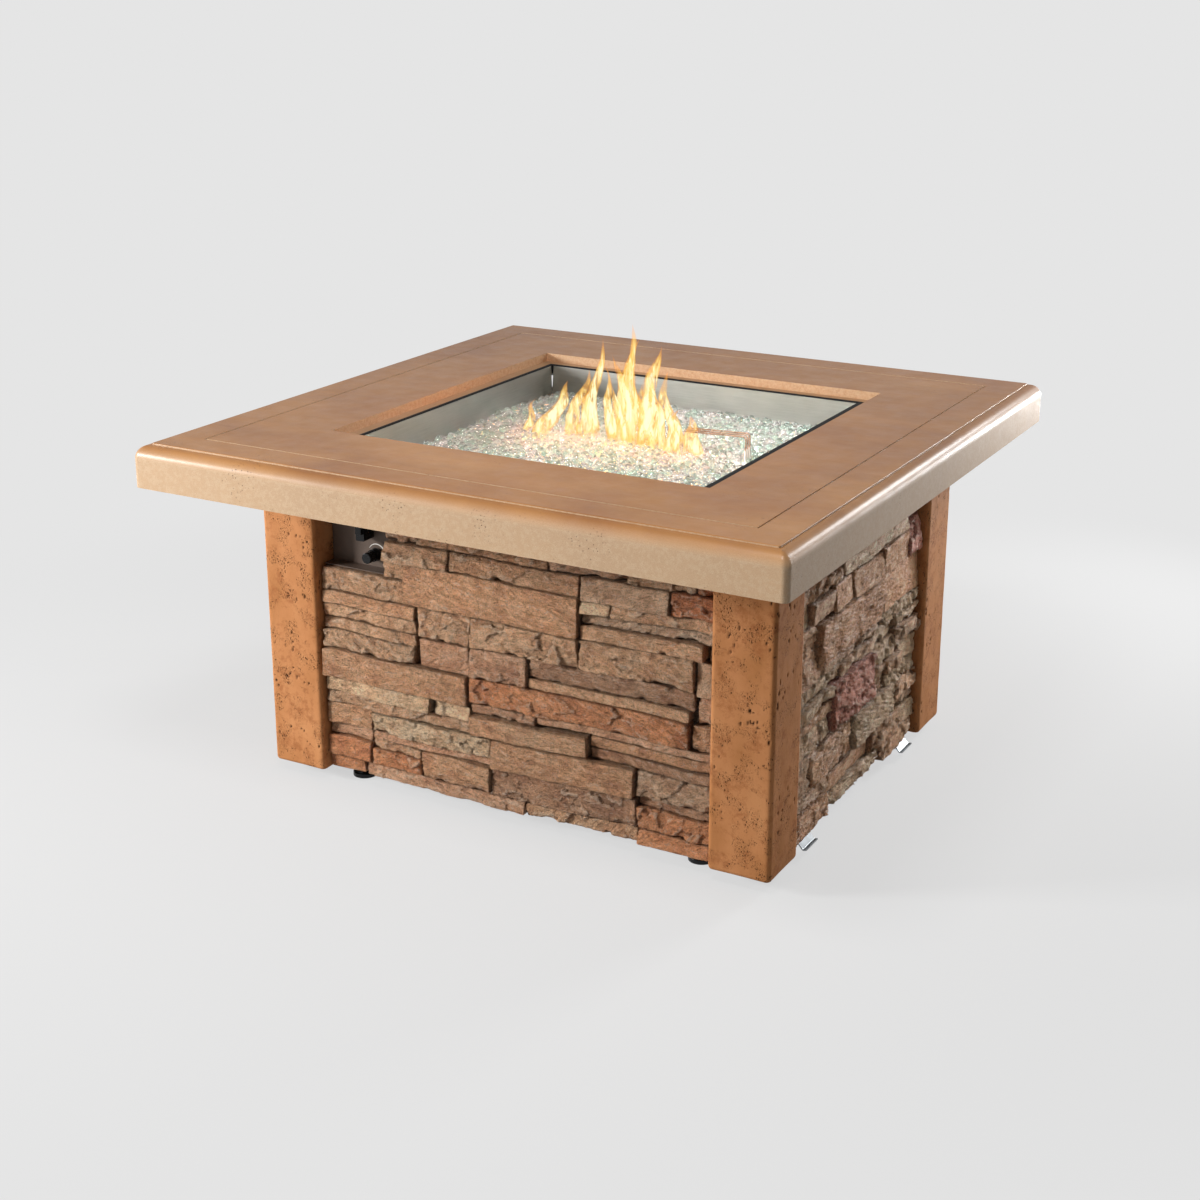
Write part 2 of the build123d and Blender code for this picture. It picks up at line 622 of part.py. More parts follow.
# ================================================================ posts
post_x = half_x - POST_SIZE / 2
post_y = half_y - POST_SIZE / 2
post_names = {(-1, -1): "front_left", (1, -1): "front_right", (-1, 1): "back_left", (1, 1): "back_right"}
for (sx, sy), corner in post_names.items():
    with BuildPart() as post:
        with BuildSketch(Plane.XY.offset(FLOOR_GAP)):
            with Locations((sx * post_x, sy * post_y)):
                Rectangle(POST_SIZE, POST_SIZE)
        extrude(amount=leg_top - FLOOR_GAP)
        fillet(post.faces().sort_by(Axis.Z)[0].edges() + post.edges().filter_by(Axis.Z), radius=POST_ROUNDING)
        with BuildSketch(Plane.XY.offset(FLOOR_GAP)):
            with Locations((sx * post_x, sy * post_y)):
                Rectangle(POST_SIZE - 2 * POST_WALL, POST_SIZE - 2 * POST_WALL)
        extrude(amount=TABLE_HEIGHT, mode=Mode.SUBTRACT)
        slot = RAIL + 2 * SEAT
        for _, wide_z, side_z in rail_sets:
            with Locations((sx * (post_x - POST_SIZE / 2), sy * rail_y, wide_z)):
                Box(3 * POST_WALL, slot, slot, mode=Mode.SUBTRACT)
            with Locations((sx * rail_x, sy * (post_y - POST_SIZE / 2), side_z)):
                Box(slot, 3 * POST_WALL, slot, mode=Mode.SUBTRACT)
    write(post, f"post_{corner}")

with BuildPart() as post_cleats:
    cleat_length = half_x - POST_WALL - rail_x - LEG / 2
    for height in CLEAT_HEIGHTS:
        for sx, sy in corners:
            with Locations((sx * (rail_x + LEG / 2 + cleat_length / 2), sy * rail_y, height)):
                Box(cleat_length, CLEAT_WIDTH, CLEAT_THICKNESS)
write(post_cleats, "post_cleats")

# ================================================================ stacked-stone panels
# Each stone is left, right, foot and head in millimetres on a panel 712 wide and 519 high
# (526 wide for the side), then how far it stands out of the backer.
FRONT_GRID = (712, 519)
FRONT_STONES = [
    (0, 70, 0, 22, 18), (74, 386, 0, 23, 20), (388, 586, 0, 22, 16), (588, 712, 0, 22, 20),
    (0, 84, 24, 60, 22), (88, 188, 24, 53, 21), (88, 188, 54, 70, 18), (190, 322, 24, 70, 24),
    (324, 586, 24, 70, 22), (588, 712, 24, 60, 19), (0, 84, 62, 80, 14), (0, 86, 82, 119, 20),
    (88, 321, 71, 84, 16), (90, 321, 85, 118, 23), (324, 584, 72, 120, 28), (588, 712, 62, 77, 12),
    (588, 712, 78, 121, 18), (0, 282, 121, 140, 20), (0, 211, 142, 167, 26), (216, 282, 142, 165, 20),
    (286, 501, 122, 155, 28), (286, 404, 157, 174, 18), (406, 712, 161, 174, 17), (504, 712, 142, 159, 15),
    (504, 712, 123, 140, 17), (0, 282, 169, 217, 30), (286, 676, 176, 218, 22), (680, 712, 176, 217, 14),
    (0, 176, 219, 250, 24), (0, 183, 252, 270, 20), (0, 183, 272, 294, 20), (0, 183, 296, 317, 24),
    (186, 286, 270, 318, 22), (188, 286, 220, 268, 21), (288, 390, 220, 268, 23), (288, 484, 270, 320, 26),
    (486, 683, 270, 320, 24), (392, 683, 238, 268, 16), (392, 676, 220, 236, 19), (686, 712, 219, 262, 12),
    (686, 712, 264, 318, 18), (0, 162, 319, 357, 21), (164, 484, 322, 386, 27), (486, 700, 321, 344, 25),
    (702, 712, 320, 344, 14), (486, 712, 346, 361, 14), (486, 538, 363, 381, 20), (540, 712, 363, 381, 17),
    (124, 162, 359, 386, 20), (124, 250, 388, 419, 25), (252, 485, 388, 419, 21), (487, 640, 383, 420, 23),
    (642, 712, 383, 420, 20), (124, 186, 421, 436, 14), (188, 430, 422, 444, 18), (432, 564, 422, 442, 15),
    (566, 682, 422, 438, 20), (684, 712, 422, 440, 16), (124, 330, 446, 480, 20), (332, 712, 446, 478, 16),
    (124, 420, 482, 519, 18), (422, 712, 480, 519, 20),
]
SIDE_GRID = (526, 507)
SIDE_STONES = [
    (0, 150, 0, 42, 26), (152, 372, 0, 28, 20), (374, 526, 0, 30, 24), (152, 330, 30, 60, 16),
    (332, 438, 30, 72, 25), (440, 526, 32, 66, 21), (0, 150, 44, 72, 18), (0, 70, 74, 136, 22),
    (72, 240, 74, 128, 24), (152, 330, 62, 72, 12), (242, 420, 74, 130, 29), (422, 526, 68, 92, 16),
    (422, 526, 94, 122, 26), (0, 148, 138, 172, 20), (72, 240, 130, 136, 12), (150, 322, 138, 216, 27),
    (324, 380, 132, 178, 18), (382, 526, 124, 150, 22), (382, 450, 152, 176, 28), (452, 526, 152, 188, 17),
    (0, 148, 174, 192, 23), (0, 148, 194, 218, 26), (324, 420, 180, 216, 22), (422, 526, 190, 222, 26),
    (0, 180, 220, 242, 17), (182, 326, 218, 238, 21), (328, 420, 218, 246, 15), (422, 526, 224, 246, 24),
    (0, 90, 244, 342, 20), (92, 358, 262, 336, 26), (92, 356, 240, 260, 16), (360, 526, 248, 270, 24),
    (360, 526, 272, 338, 22), (0, 60, 344, 380, 15), (62, 148, 344, 378, 24), (150, 234, 338, 380, 20),
    (236, 346, 338, 384, 23), (348, 470, 340, 388, 25), (472, 526, 340, 404, 21), (0, 76, 382, 412, 17),
    (78, 178, 382, 412, 21), (180, 470, 390, 414, 22), (0, 240, 414, 446, 19), (242, 526, 416, 450, 21),
    (0, 300, 448, 507, 18), (302, 526, 452, 507, 20),
]
STONE_RELIEF = (12, 15, 17, 20, 22, 24, 26)


def coursed_stones(width, height, seed):
    """Courses of random height, each split into stones of random length and relief."""
    dice = random.Random(seed)
    stones = []
    foot = 0
    while foot < height:
        head = foot + dice.choice((17, 22, 27, 34, 44, 52))
        if height - head < 20:
            head = height
        left = 0
        while left < width:
            right = left + dice.choice((70, 110, 160, 210, 280, 340))
            if width - right < 60:
                right = width
            stones.append((left, right, foot, head, dice.choice(STONE_RELIEF)))
            left = right
        foot = head
    return stones


def stone_panel(plane, width, height, stones, grid, holes):
    """A cast backer with raised stones; the plane lies on the backer's front, at its lower left corner."""
    across_scale = width / grid[0]
    up_scale = height / grid[1]
    with BuildPart() as panel:
        with BuildSketch(plane):
            Rectangle(width, height, align=Align.MIN)
        extrude(amount=-BACKER_THICKNESS)
        for relief in sorted({stone[4] for stone in stones}):
            with BuildSketch(plane):
                for left, right, foot, head, stands_out in stones:
                    if stands_out == relief:
                        middle = ((left + right) / 2 * across_scale, (foot + head) / 2 * up_scale)
                        with Locations(middle):
                            Rectangle(
                                (right - left) * across_scale - MORTAR_JOINT,
                                (head - foot) * up_scale - MORTAR_JOINT / 2,
                            )
            extrude(amount=relief)
        with BuildSketch(plane.offset(-BACKER_THICKNESS)):
            with Locations(*holes):
                Circle(SCREW_RADIUS + FIT)
        extrude(amount=SCREW_BITE, mode=Mode.SUBTRACT)
    return panel


def screw_places(width, spread, upper_z):
    """The four screws of a fixed panel, from its lower left corner."""
    ups = (bottom_rail_z - panel_foot, upper_z - panel_foot)
    return [(width / 2 + side * spread / 2, up) for up in ups for side in (-1, 1)]


slab_x = half_x - face_to_slab
slab_y = half_y - face_to_slab
front_plane = Plane(origin=(-panel_width / 2, -slab_y, panel_foot), x_dir=(1, 0, 0), z_dir=(0, -1, 0))
back_plane = Plane(origin=(panel_width / 2, slab_y, panel_foot), x_dir=(-1, 0, 0), z_dir=(0, 1, 0))
left_plane = Plane(origin=(-slab_x, side_width / 2, panel_foot), x_dir=(0, -1, 0), z_dir=(-1, 0, 0))
door_plane = Plane(origin=(slab_x, -side_width / 2, DOOR_LIFT), x_dir=(0, 1, 0), z_dir=(1, 0, 0))
wide_places = screw_places(panel_width, screw_spread_front, wide_rail_z)

recess_floor = panel_foot + RECESS_HEIGHT
front_blank = stone_panel(front_plane, panel_width, panel_height, FRONT_STONES, FRONT_GRID, wide_places)
with BuildPart() as stone_panel_front:
    add(front_blank.part)
    with Locations((-panel_width / 2, -half_y, recess_floor)):
        Box(
            RECESS_WIDTH,
            POST_SIZE,
            panel_height,
            align=(Align.MIN, Align.CENTER, Align.MIN),
            mode=Mode.SUBTRACT,
        )
write(stone_panel_front, "stone_panel_front")

back_stones = coursed_stones(*FRONT_GRID, seed=7)
stone_panel_back = stone_panel(back_plane, panel_width, panel_height, back_stones, FRONT_GRID, wide_places)
write(stone_panel_back, "stone_panel_back")

left_grid = (SIDE_GRID[0], FRONT_GRID[1])
left_stones = coursed_stones(*left_grid, seed=21)
left_places = screw_places(side_width, screw_spread_side, side_rail_z)
stone_panel_left = stone_panel(left_plane, side_width, panel_height, left_stones, left_grid, left_places)
write(stone_panel_left, "stone_panel_left")

# ================================================================ access door
door_back = half_x - face_to_back
hook_outer = HANGER_RADIUS + HOOK_FIT + HOOK_THICKNESS
rod_axis_x = door_back + hook_outer + RUNNING
rod_axis_z = slab_underside - ROD_AXIS_DROP
frame_foot = DOOR_LIFT + DOOR_FRAME_LIFT
frame_head = side_rail_z - RAIL / 2 - DOOR_FRAME_GAP
frame_width = side_width - 2 * DOOR_FRAME_INSET
bolt_y = frame_width / 2 - DOOR_BAR / 2
bolt_heights = (frame_foot + DOOR_BAR / 2, frame_head - DOOR_BAR / 2)
hook_foot = rod_axis_z - HOOK_LENGTH
hook_bolt_z = hook_foot + DOOR_BAR / 2
tab_screw_x = door_back + BACKER_THICKNESS / 2
tab_screw_y = [side * TAB_Y + step * TAB_SCREW_SPREAD / 2 for side in (-1, 1) for step in (-1, 1)]

door_holes = [(side_width / 2 + side * bolt_y, up - DOOR_LIFT) for up in bolt_heights for side in (-1, 1)]
door_holes += [(side_width / 2 + side * HOOK_Y, hook_bolt_z - DOOR_LIFT) for side in (-1, 1)]
door_blank = stone_panel(door_plane, side_width, door_height, SIDE_STONES, SIDE_GRID, door_holes)
with BuildPart() as stone_panel_right:
    add(door_blank.part)
    with Locations(*[(door_back, side * HOOK_Y, hook_foot - SEAT) for side in (-1, 1)]):
        Box(
            2 * (HOOK_THICKNESS + SEAT),
            HOOK_WIDTH + 2 * SEAT,
            door_height,
            align=(Align.CENTER, Align.CENTER, Align.MIN),
            mode=Mode.SUBTRACT,
        )
    with Locations(*[(tab_screw_x, y, DOOR_LIFT) for y in tab_screw_y]):
        Cylinder(SCREW_RADIUS + FIT, 2 * SCREW_BITE, mode=Mode.SUBTRACT)
write(stone_panel_right, "stone_panel_right")

with BuildPart() as door_frame:
    with BuildSketch(Plane.YZ.offset(door_back - DOOR_BAR_THICKNESS)):
        with Locations((0, (frame_foot + frame_head) / 2)):
            Rectangle(frame_width, frame_head - frame_foot)
            Rectangle(frame_width - 2 * DOOR_BAR, frame_head - frame_foot - 2 * DOOR_BAR, mode=Mode.SUBTRACT)
        with Locations(*[(side * bolt_y, up) for up in bolt_heights for side in (-1, 1)]):
            Circle(SCREW_RADIUS + FIT, mode=Mode.SUBTRACT)
        with Locations(*[(side * HOOK_Y, hook_bolt_z) for side in (-1, 1)]):
            Rectangle(HOOK_WIDTH, DOOR_BAR)
            Circle(SCREW_RADIUS + FIT, mode=Mode.SUBTRACT)
    extrude(amount=DOOR_BAR_THICKNESS)
write(door_frame, "door_frame")

with BuildPart() as door_hooks:
    for side in (-1, 1):
        with BuildSketch(Plane.XZ.offset(-side * HOOK_Y)):
            with Locations((rod_axis_x, rod_axis_z)):
                Circle(hook_outer)
            with Locations((rod_axis_x - hook_outer, hook_foot)):
                Rectangle(HOOK_THICKNESS, HOOK_LENGTH, align=Align.MIN)
            with Locations((rod_axis_x, rod_axis_z)):
                Circle(HANGER_RADIUS + HOOK_FIT, mode=Mode.SUBTRACT)
            with Locations((rod_axis_x - hook_outer + HOOK_THICKNESS, rod_axis_z)):
                Rectangle(2 * hook_outer, 2 * hook_outer, align=(Align.MIN, Align.MAX), mode=Mode.SUBTRACT)
        extrude(amount=HOOK_WIDTH / 2, both=True)
        with BuildSketch(Plane.YZ.offset(door_back)):
            with Locations((side * HOOK_Y, hook_bolt_z)):
                Circle(SCREW_RADIUS + FIT)
        extrude(amount=2 * HOOK_THICKNESS, mode=Mode.SUBTRACT)
write(door_hooks, "door_hooks")

with BuildPart() as door_screws:
    door_screw_places = [(side * bolt_y, up) for up in bolt_heights for side in (-1, 1)]
    door_screw_places += [(side * HOOK_Y, hook_bolt_z) for side in (-1, 1)]
    with BuildSketch(Plane.YZ.offset(door_back - DOOR_BAR_THICKNESS)):
        with Locations(*door_screw_places):
            Circle(SCREW_HEAD_RADIUS)
    extrude(amount=-SCREW_HEAD_HEIGHT)
    with BuildSketch(Plane.YZ.offset(door_back - DOOR_BAR_THICKNESS)):
        with Locations(*door_screw_places):
            Circle(SCREW_RADIUS)
    extrude(amount=DOOR_BAR_THICKNESS + SCREW_BITE - SEAT)
    with Locations(*[(tab_screw_x, y, DOOR_LIFT - TAB_THICKNESS) for y in tab_screw_y]):
        Cylinder(SCREW_HEAD_RADIUS, TAB_SCREW_HEAD, align=(Align.CENTER, Align.CENTER, Align.MAX))
        tab_shank = TAB_THICKNESS + SCREW_BITE - SEAT
        Cylinder(SCREW_RADIUS, tab_shank, align=(Align.CENTER, Align.CENTER, Align.MIN))
write(door_screws, "door_screws")

with BuildPart() as hanger_rod:
    with BuildSketch(Plane.XZ):
        with Locations((rod_axis_x, rod_axis_z)):
            Circle(HANGER_RADIUS)
    extrude(amount=HANGER_LENGTH / 2, both=True)
write(hanger_rod, "hanger_rod")

with BuildPart() as rod_brackets:
    for middle in (-LUG_Y, 0, LUG_Y):
        with BuildSketch(Plane.XZ.offset(-middle)):
            with Locations((rod_axis_x, rod_axis_z)):
                Circle(LUG_RADIUS)
            with Locations((door_back, side_rail_z)):
                Rectangle(RAIL, 2 * RAIL, align=(Align.MAX, Align.CENTER), mode=Mode.SUBTRACT)
            with Locations((rail_x - RAIL / 2, side_rail_z + RAIL / 2)):
                Rectangle(rod_axis_x - rail_x + RAIL / 2, LUG_BASE, align=Align.MIN)
            with Locations((rod_axis_x, rod_axis_z)):
                Circle(HANGER_RADIUS + FIT / 2, mode=Mode.SUBTRACT)
        extrude(amount=LUG_WIDTH / 2, both=True)
write(rod_brackets, "rod_brackets")

tab_end_x = half_x + TAB_REACH
tab_z = DOOR_LIFT - TAB_THICKNESS / 2
with BuildPart() as pull_tabs:
    for side in (-1, 1):
        with BuildSketch(Plane.XZ.offset(-side * TAB_Y)):
            with BuildLine():
                FilletPolyline(
                    (door_back + TAB_THICKNESS, tab_z),
                    (tab_end_x - TAB_FLAT, tab_z),
                    (tab_end_x - TAB_LIP, tab_z - TAB_DROP),
                    (tab_end_x, tab_z - TAB_DROP + TAB_THICKNESS),
                    radius=TAB_BEND,
                )
            trace(line_width=TAB_THICKNESS)
        extrude(amount=TAB_WIDTH / 2, both=True)
    with Locations(*[(tab_screw_x, y, DOOR_LIFT) for y in tab_screw_y]):
        Cylinder(SCREW_RADIUS + FIT, 4 * TAB_THICKNESS, mode=Mode.SUBTRACT)
write(pull_tabs, "pull_tabs")

# ================================================================ tank tray
tray_width = 2 * (rail_x - RAIL / 2)
tray_depth = 2 * (rail_y - RAIL / 2)
with BuildPart() as tank_tray:
    with BuildSketch(Plane.XY.offset(BOTTOM_RAIL_LIFT)):
        Rectangle(tray_width, tray_depth)
        with GridLocations(2 * post_x, 2 * post_y, 2, 2):
            Rectangle(POST_SIZE + 2 * SEAT, POST_SIZE + 2 * SEAT, mode=Mode.SUBTRACT)
        with GridLocations(TRAY_SLOT_PITCH, tray_depth - 2 * TRAY_SLOT_LENGTH, TRAY_SLOTS, 2):
            SlotOverall(TRAY_SLOT_LENGTH, TRAY_SLOT_WIDTH, rotation=90, mode=Mode.SUBTRACT)
    extrude(amount=TRAY_THICKNESS)
write(tank_tray, "tank_tray")

with BuildPart() as tank_ring:
    with BuildSketch(Plane.XY.offset(BOTTOM_RAIL_LIFT + TRAY_THICKNESS)):
        with Locations((TANK_X, 0)):
            Circle(TANK_RING_INNER + TANK_RING_WALL)
            Circle(TANK_RING_INNER, mode=Mode.SUBTRACT)
    extrude(amount=TANK_RING_HEIGHT)
write(tank_ring, "tank_ring")

# ================================================================ control plate and valve
plate_back = -(rail_y + RAIL / 2)
plate_face = plate_back - PLATE_THICKNESS
plate_left = -panel_width / 2 - PANEL_SIDE_GAP + PLATE_GAP
plate_right = -panel_width / 2 + RECESS_WIDTH - PLATE_GAP
plate_foot = recess_floor + SEAT
plate_head = panel_top
knob_z = TABLE_HEIGHT - KNOB_DROP
igniter_z = TABLE_HEIGHT - IGNITER_DROP
with BuildPart() as control_plate:
    with BuildSketch(Plane.XZ.offset(-plate_back)):
        with Locations((plate_left, plate_foot)):
            Rectangle(plate_right - plate_left, plate_head - plate_foot, align=Align.MIN)
        with Locations((KNOB_X, knob_z)):
            Circle(NECK_RADIUS + FIT, mode=Mode.SUBTRACT)
        with Locations((IGNITER_X, igniter_z)):
            Circle(IGNITER_NECK + FIT, mode=Mode.SUBTRACT)
        with Locations(*[(x, wide_rail_z) for x in plate_screw_x]):
            Circle(SCREW_RADIUS + FIT, mode=Mode.SUBTRACT)
    extrude(amount=PLATE_THICKNESS)
    with Locations((plate_left, plate_face, plate_foot)):
        Box(plate_right - plate_left, PLATE_LIP, PLATE_THICKNESS, align=(Align.MIN, Align.MAX, Align.MIN))
write(control_plate, "control_plate")

# The plate's screws run from inside, through the front rail, and end flush with its face.
with BuildPart() as plate_screws:
    rail_inner_y = -(rail_y - RAIL / 2)
    with BuildSketch(Plane.XZ.offset(-rail_inner_y)):
        with Locations(*[(x, wide_rail_z) for x in plate_screw_x]):
            Circle(SCREW_RADIUS)
    extrude(amount=RAIL + PLATE_THICKNESS)
    with BuildSketch(Plane.XZ.offset(-rail_inner_y)):
        with Locations(*[(x, wide_rail_z) for x in plate_screw_x]):
            Circle(SCREW_HEAD_RADIUS)
    extrude(amount=-SCREW_HEAD_HEIGHT)
write(plate_screws, "plate_screws")

neck_end = plate_face - BONNET_THICKNESS - NECK_PROUD
valve_front = plate_back + VALVE_GAP
valve_rear = valve_front + VALVE_LENGTH
bonnet_front = plate_face - BONNET_THICKNESS
skirt_back = plate_face - KNOB_GAP
stem_front = skirt_back - SKIRT_HEIGHT - GRIP_LENGTH + STEM_CAP
stem_rear = stem_front + STEM_LENGTH
outlet_y = valve_front + VALVE_LENGTH / 2
with BuildPart() as valve_body:
    with Locations((KNOB_X, valve_front, knob_z)):
        Box(VALVE_WIDTH, VALVE_LENGTH, VALVE_HEIGHT, align=(Align.CENTER, Align.MIN, Align.CENTER))
    chamfer(valve_body.edges().filter_by(Axis.Y), length=VALVE_CHAMFER)
    with BuildSketch(Plane.XZ.offset(-valve_front)):
        with Locations((KNOB_X, knob_z)):
            Circle(NECK_RADIUS)
    extrude(amount=valve_front - neck_end)
    with BuildSketch(Plane.XZ.offset(-neck_end)):
        with Locations((KNOB_X, knob_z)):
            Circle(STEM_RADIUS + RUNNING)
    extrude(amount=-(stem_rear + KNOB_TRAVEL + STEM_CAP - neck_end), mode=Mode.SUBTRACT)
write(valve_body, "valve_body")

with BuildPart() as valve_bonnet_nut:
    with BuildSketch(Plane.XZ.offset(-plate_face)):
        with Locations((KNOB_X, knob_z)):
            RegularPolygon(BONNET_SIZE / 2, 6, major_radius=False)
            Circle(NECK_RADIUS + RUNNING, mode=Mode.SUBTRACT)
    extrude(amount=BONNET_THICKNESS)
write(valve_bonnet_nut, "valve_bonnet_nut")

flare_top = knob_z - VALVE_HEIGHT / 2
with BuildPart() as valve_inlet_fitting:
    with BuildSketch(Plane.XY.offset(flare_top)):
        with Locations((KNOB_X, outlet_y)):
            RegularPolygon(FLARE_HEX / 2, 6, major_radius=False)
    extrude(amount=-FLARE_HEX_LENGTH)
    with BuildSketch(Plane.XY.offset(flare_top - FLARE_HEX_LENGTH)):
        with Locations((KNOB_X, outlet_y)):
            Circle(FLARE_RADIUS)
    extrude(amount=-FLARE_LENGTH)
    with Locations((KNOB_X, outlet_y, flare_top - FLARE_HEX_LENGTH - FLARE_LENGTH)):
        Cylinder(FLARE_RADIUS / 2, 2 * FLARE_LENGTH, mode=Mode.SUBTRACT)
write(valve_inlet_fitting, "valve_inlet_fitting")

outlet_x = KNOB_X + VALVE_WIDTH / 2 + OUTLET_REACH
elbow_end = outlet_y + OUTLET_RUN
with BuildPart() as valve_outlet_elbow:
    with BuildSketch(Plane.YZ.offset(KNOB_X + VALVE_WIDTH / 2)):
        with Locations((outlet_y, knob_z)):
            Circle(OUTLET_RADIUS)
    extrude(amount=OUTLET_REACH)
    with Locations((outlet_x, outlet_y, knob_z)):
        Sphere(OUTLET_RADIUS)
    with BuildSketch(Plane.XZ.offset(-outlet_y)):
        with Locations((outlet_x, knob_z)):
            Circle(OUTLET_RADIUS)
    extrude(amount=-(elbow_end - outlet_y))
write(valve_outlet_elbow, "valve_outlet_elbow")

# ================================================================ knob
with BuildPart() as knob:
    with BuildSketch(Plane.XZ.offset(-skirt_back)):
        with Locations((KNOB_X, knob_z)):
            Circle(SKIRT_RADIUS)
    extrude(amount=SKIRT_HEIGHT, taper=SKIRT_TAPER)
    with BuildSketch(Plane.XZ.offset(-(skirt_back - SKIRT_HEIGHT))):
        with Locations((KNOB_X, knob_z)):
            Circle(GRIP_RADIUS)
    extrude(amount=GRIP_LENGTH)
    fillet(knob.faces().sort_by(Axis.Y)[0].edges(), radius=GRIP_ROUNDING)
    with BuildSketch(Plane.XZ.offset(-(skirt_back - SKIRT_HEIGHT - 1))):
        with Locations((KNOB_X, knob_z)):
            with PolarLocations(GRIP_RADIUS + FLUTE_RADIUS / 3, FLUTE_COUNT):
                Circle(FLUTE_RADIUS)
    extrude(amount=GRIP_LENGTH, mode=Mode.SUBTRACT)
    with BuildSketch(Plane.XZ.offset(-skirt_back)):
        with Locations((KNOB_X, knob_z)):
            Circle(SKIRT_HOLLOW)
    extrude(amount=SKIRT_HOLLOW_DEPTH, mode=Mode.SUBTRACT)
    with BuildSketch(Plane.XZ.offset(-skirt_back)):
        with Locations((KNOB_X, knob_z)):
            Circle(STEM_RADIUS + FIT)
    extrude(amount=skirt_back - stem_front, mode=Mode.SUBTRACT)
write(knob, "knob")

with BuildPart() as valve_stem:
    with BuildSketch(Plane.XZ.offset(-stem_front)):
        with Locations((KNOB_X, knob_z)):
            Circle(STEM_RADIUS)
    extrude(amount=-STEM_LENGTH)
write(valve_stem, "valve_stem")

washer_front = skirt_back - SKIRT_HOLLOW_DEPTH + RUNNING
washer_back = washer_front + WASHER_THICKNESS
with BuildPart() as thrust_washer:
    with BuildSketch(Plane.XZ.offset(-washer_back)):
        with Locations((KNOB_X, knob_z)):
            Circle(WASHER_RADIUS)
            Circle(STEM_RADIUS + FIT, mode=Mode.SUBTRACT)
    extrude(amount=WASHER_THICKNESS)
write(thrust_washer, "thrust_washer")

spring_length = bonnet_front - washer_back - 2 * SPRING_WIRE - 2 * RUNNING
with BuildPart() as knob_return_spring:
    with BuildLine():
        coil = Helix(
            pitch=spring_length / SPRING_TURNS,
            height=spring_length,
            radius=SPRING_RADIUS,
            center=(KNOB_X, bonnet_front - SPRING_WIRE - RUNNING, knob_z),
            direction=(0, -1, 0),
        )
    with BuildSketch(Plane(origin=coil @ 0, z_dir=coil % 0)):
        Circle(SPRING_WIRE)
    sweep(is_frenet=True)
write(knob_return_spring, "knob_return_spring")

# ================================================================ igniter
igniter_front = plate_face - IGNITER_DEPTH
button_front = igniter_front - BUTTON_PROUD
igniter_middle = plate_face - IGNITER_DEPTH / 2
with BuildPart() as igniter_housing:
    with Locations((IGNITER_X, igniter_middle, igniter_z)):
        Box(IGNITER_WIDTH, IGNITER_DEPTH, IGNITER_HEIGHT)
    fillet(igniter_housing.edges().filter_by(Axis.Y), radius=IGNITER_ROUNDING)
    with BuildSketch(Plane.XZ.offset(-plate_face)):
        with Locations((IGNITER_X, igniter_z)):
            Circle(IGNITER_NECK)
    extrude(amount=-IGNITER_NECK_LENGTH)
    with Locations((IGNITER_X, igniter_front, igniter_z)):
        Box(
            BUTTON_SIZE + 2 * FIT,
            2 * (BUTTON_LENGTH - BUTTON_PROUD + BUTTON_TRAVEL + 1),
            BUTTON_SIZE + 2 * FIT,
            mode=Mode.SUBTRACT,
        )
write(igniter_housing, "igniter_housing")

with BuildPart() as igniter_button:
    with Locations((IGNITER_X, button_front, igniter_z)):
        Box(BUTTON_SIZE, BUTTON_LENGTH, BUTTON_SIZE, align=(Align.CENTER, Align.MIN, Align.CENTER))
    fillet(igniter_button.faces().sort_by(Axis.Y)[0].edges(), radius=1)
write(igniter_button, "igniter_button")

with BuildPart() as igniter_nut:
    with BuildSketch(Plane.XZ.offset(-plate_back)):
        with Locations((IGNITER_X, igniter_z)):
            RegularPolygon(IGNITER_NUT_SIZE / 2, 6, major_radius=False)
            Circle(IGNITER_NECK + RUNNING, mode=Mode.SUBTRACT)
    extrude(amount=-IGNITER_NUT_THICKNESS)
write(igniter_nut, "igniter_nut")

# ================================================================ gas hose and leads
hose_route = [
    (outlet_x, elbow_end, knob_z),
    (outlet_x, elbow_end + 100, knob_z),
    (outlet_x + 35, -60, (knob_z + inlet_z) / 2),
    (-120, 0, inlet_z),
    (-INLET_REACH, 0, inlet_z),
]
gas_hose = lead(hose_route, HOSE_RADIUS)
write(gas_hose, "gas_hose")

thermo_z = pan_under - THERMO_LEAD_DROP
spark_z = pan_under - SPARK_LEAD_DROP
lead_top = pan_floor + BRACKET_THICKNESS
thermo_end_x = KNOB_X + VALVE_WIDTH / 5
thermo_route = [
    (PILOT_X - LEAD_OFFSET, PILOT_Y, lead_top),
    (PILOT_X - LEAD_OFFSET, PILOT_Y, thermo_z),
    (PILOT_X - LEAD_OFFSET, THERMO_LEAD_Y, thermo_z),
    (thermo_end_x, THERMO_LEAD_Y, thermo_z),
    (thermo_end_x, valve_rear + LEAD_SLACK, thermo_z),
    (thermo_end_x, valve_rear + LEAD_SLACK, knob_z),
    (thermo_end_x, valve_rear, knob_z),
]
thermocouple_lead = lead(thermo_route, THERMO_LEAD_RADIUS)
write(thermocouple_lead, "thermocouple_lead")

igniter_rear = plate_face + IGNITER_NECK_LENGTH
spark_route = [
    (PILOT_X + LEAD_OFFSET, PILOT_Y, lead_top),
    (PILOT_X + LEAD_OFFSET, PILOT_Y, spark_z),
    (PILOT_X + LEAD_OFFSET, SPARK_LEAD_Y, spark_z),
    (IGNITER_X, SPARK_LEAD_Y, spark_z),
    (IGNITER_X, igniter_rear + LEAD_SLACK, spark_z),
    (IGNITER_X, igniter_rear + LEAD_SLACK, igniter_z),
    (IGNITER_X, igniter_rear, igniter_z),
]
spark_lead = lead(spark_route, SPARK_LEAD_RADIUS)
write(spark_lead, "spark_lead")

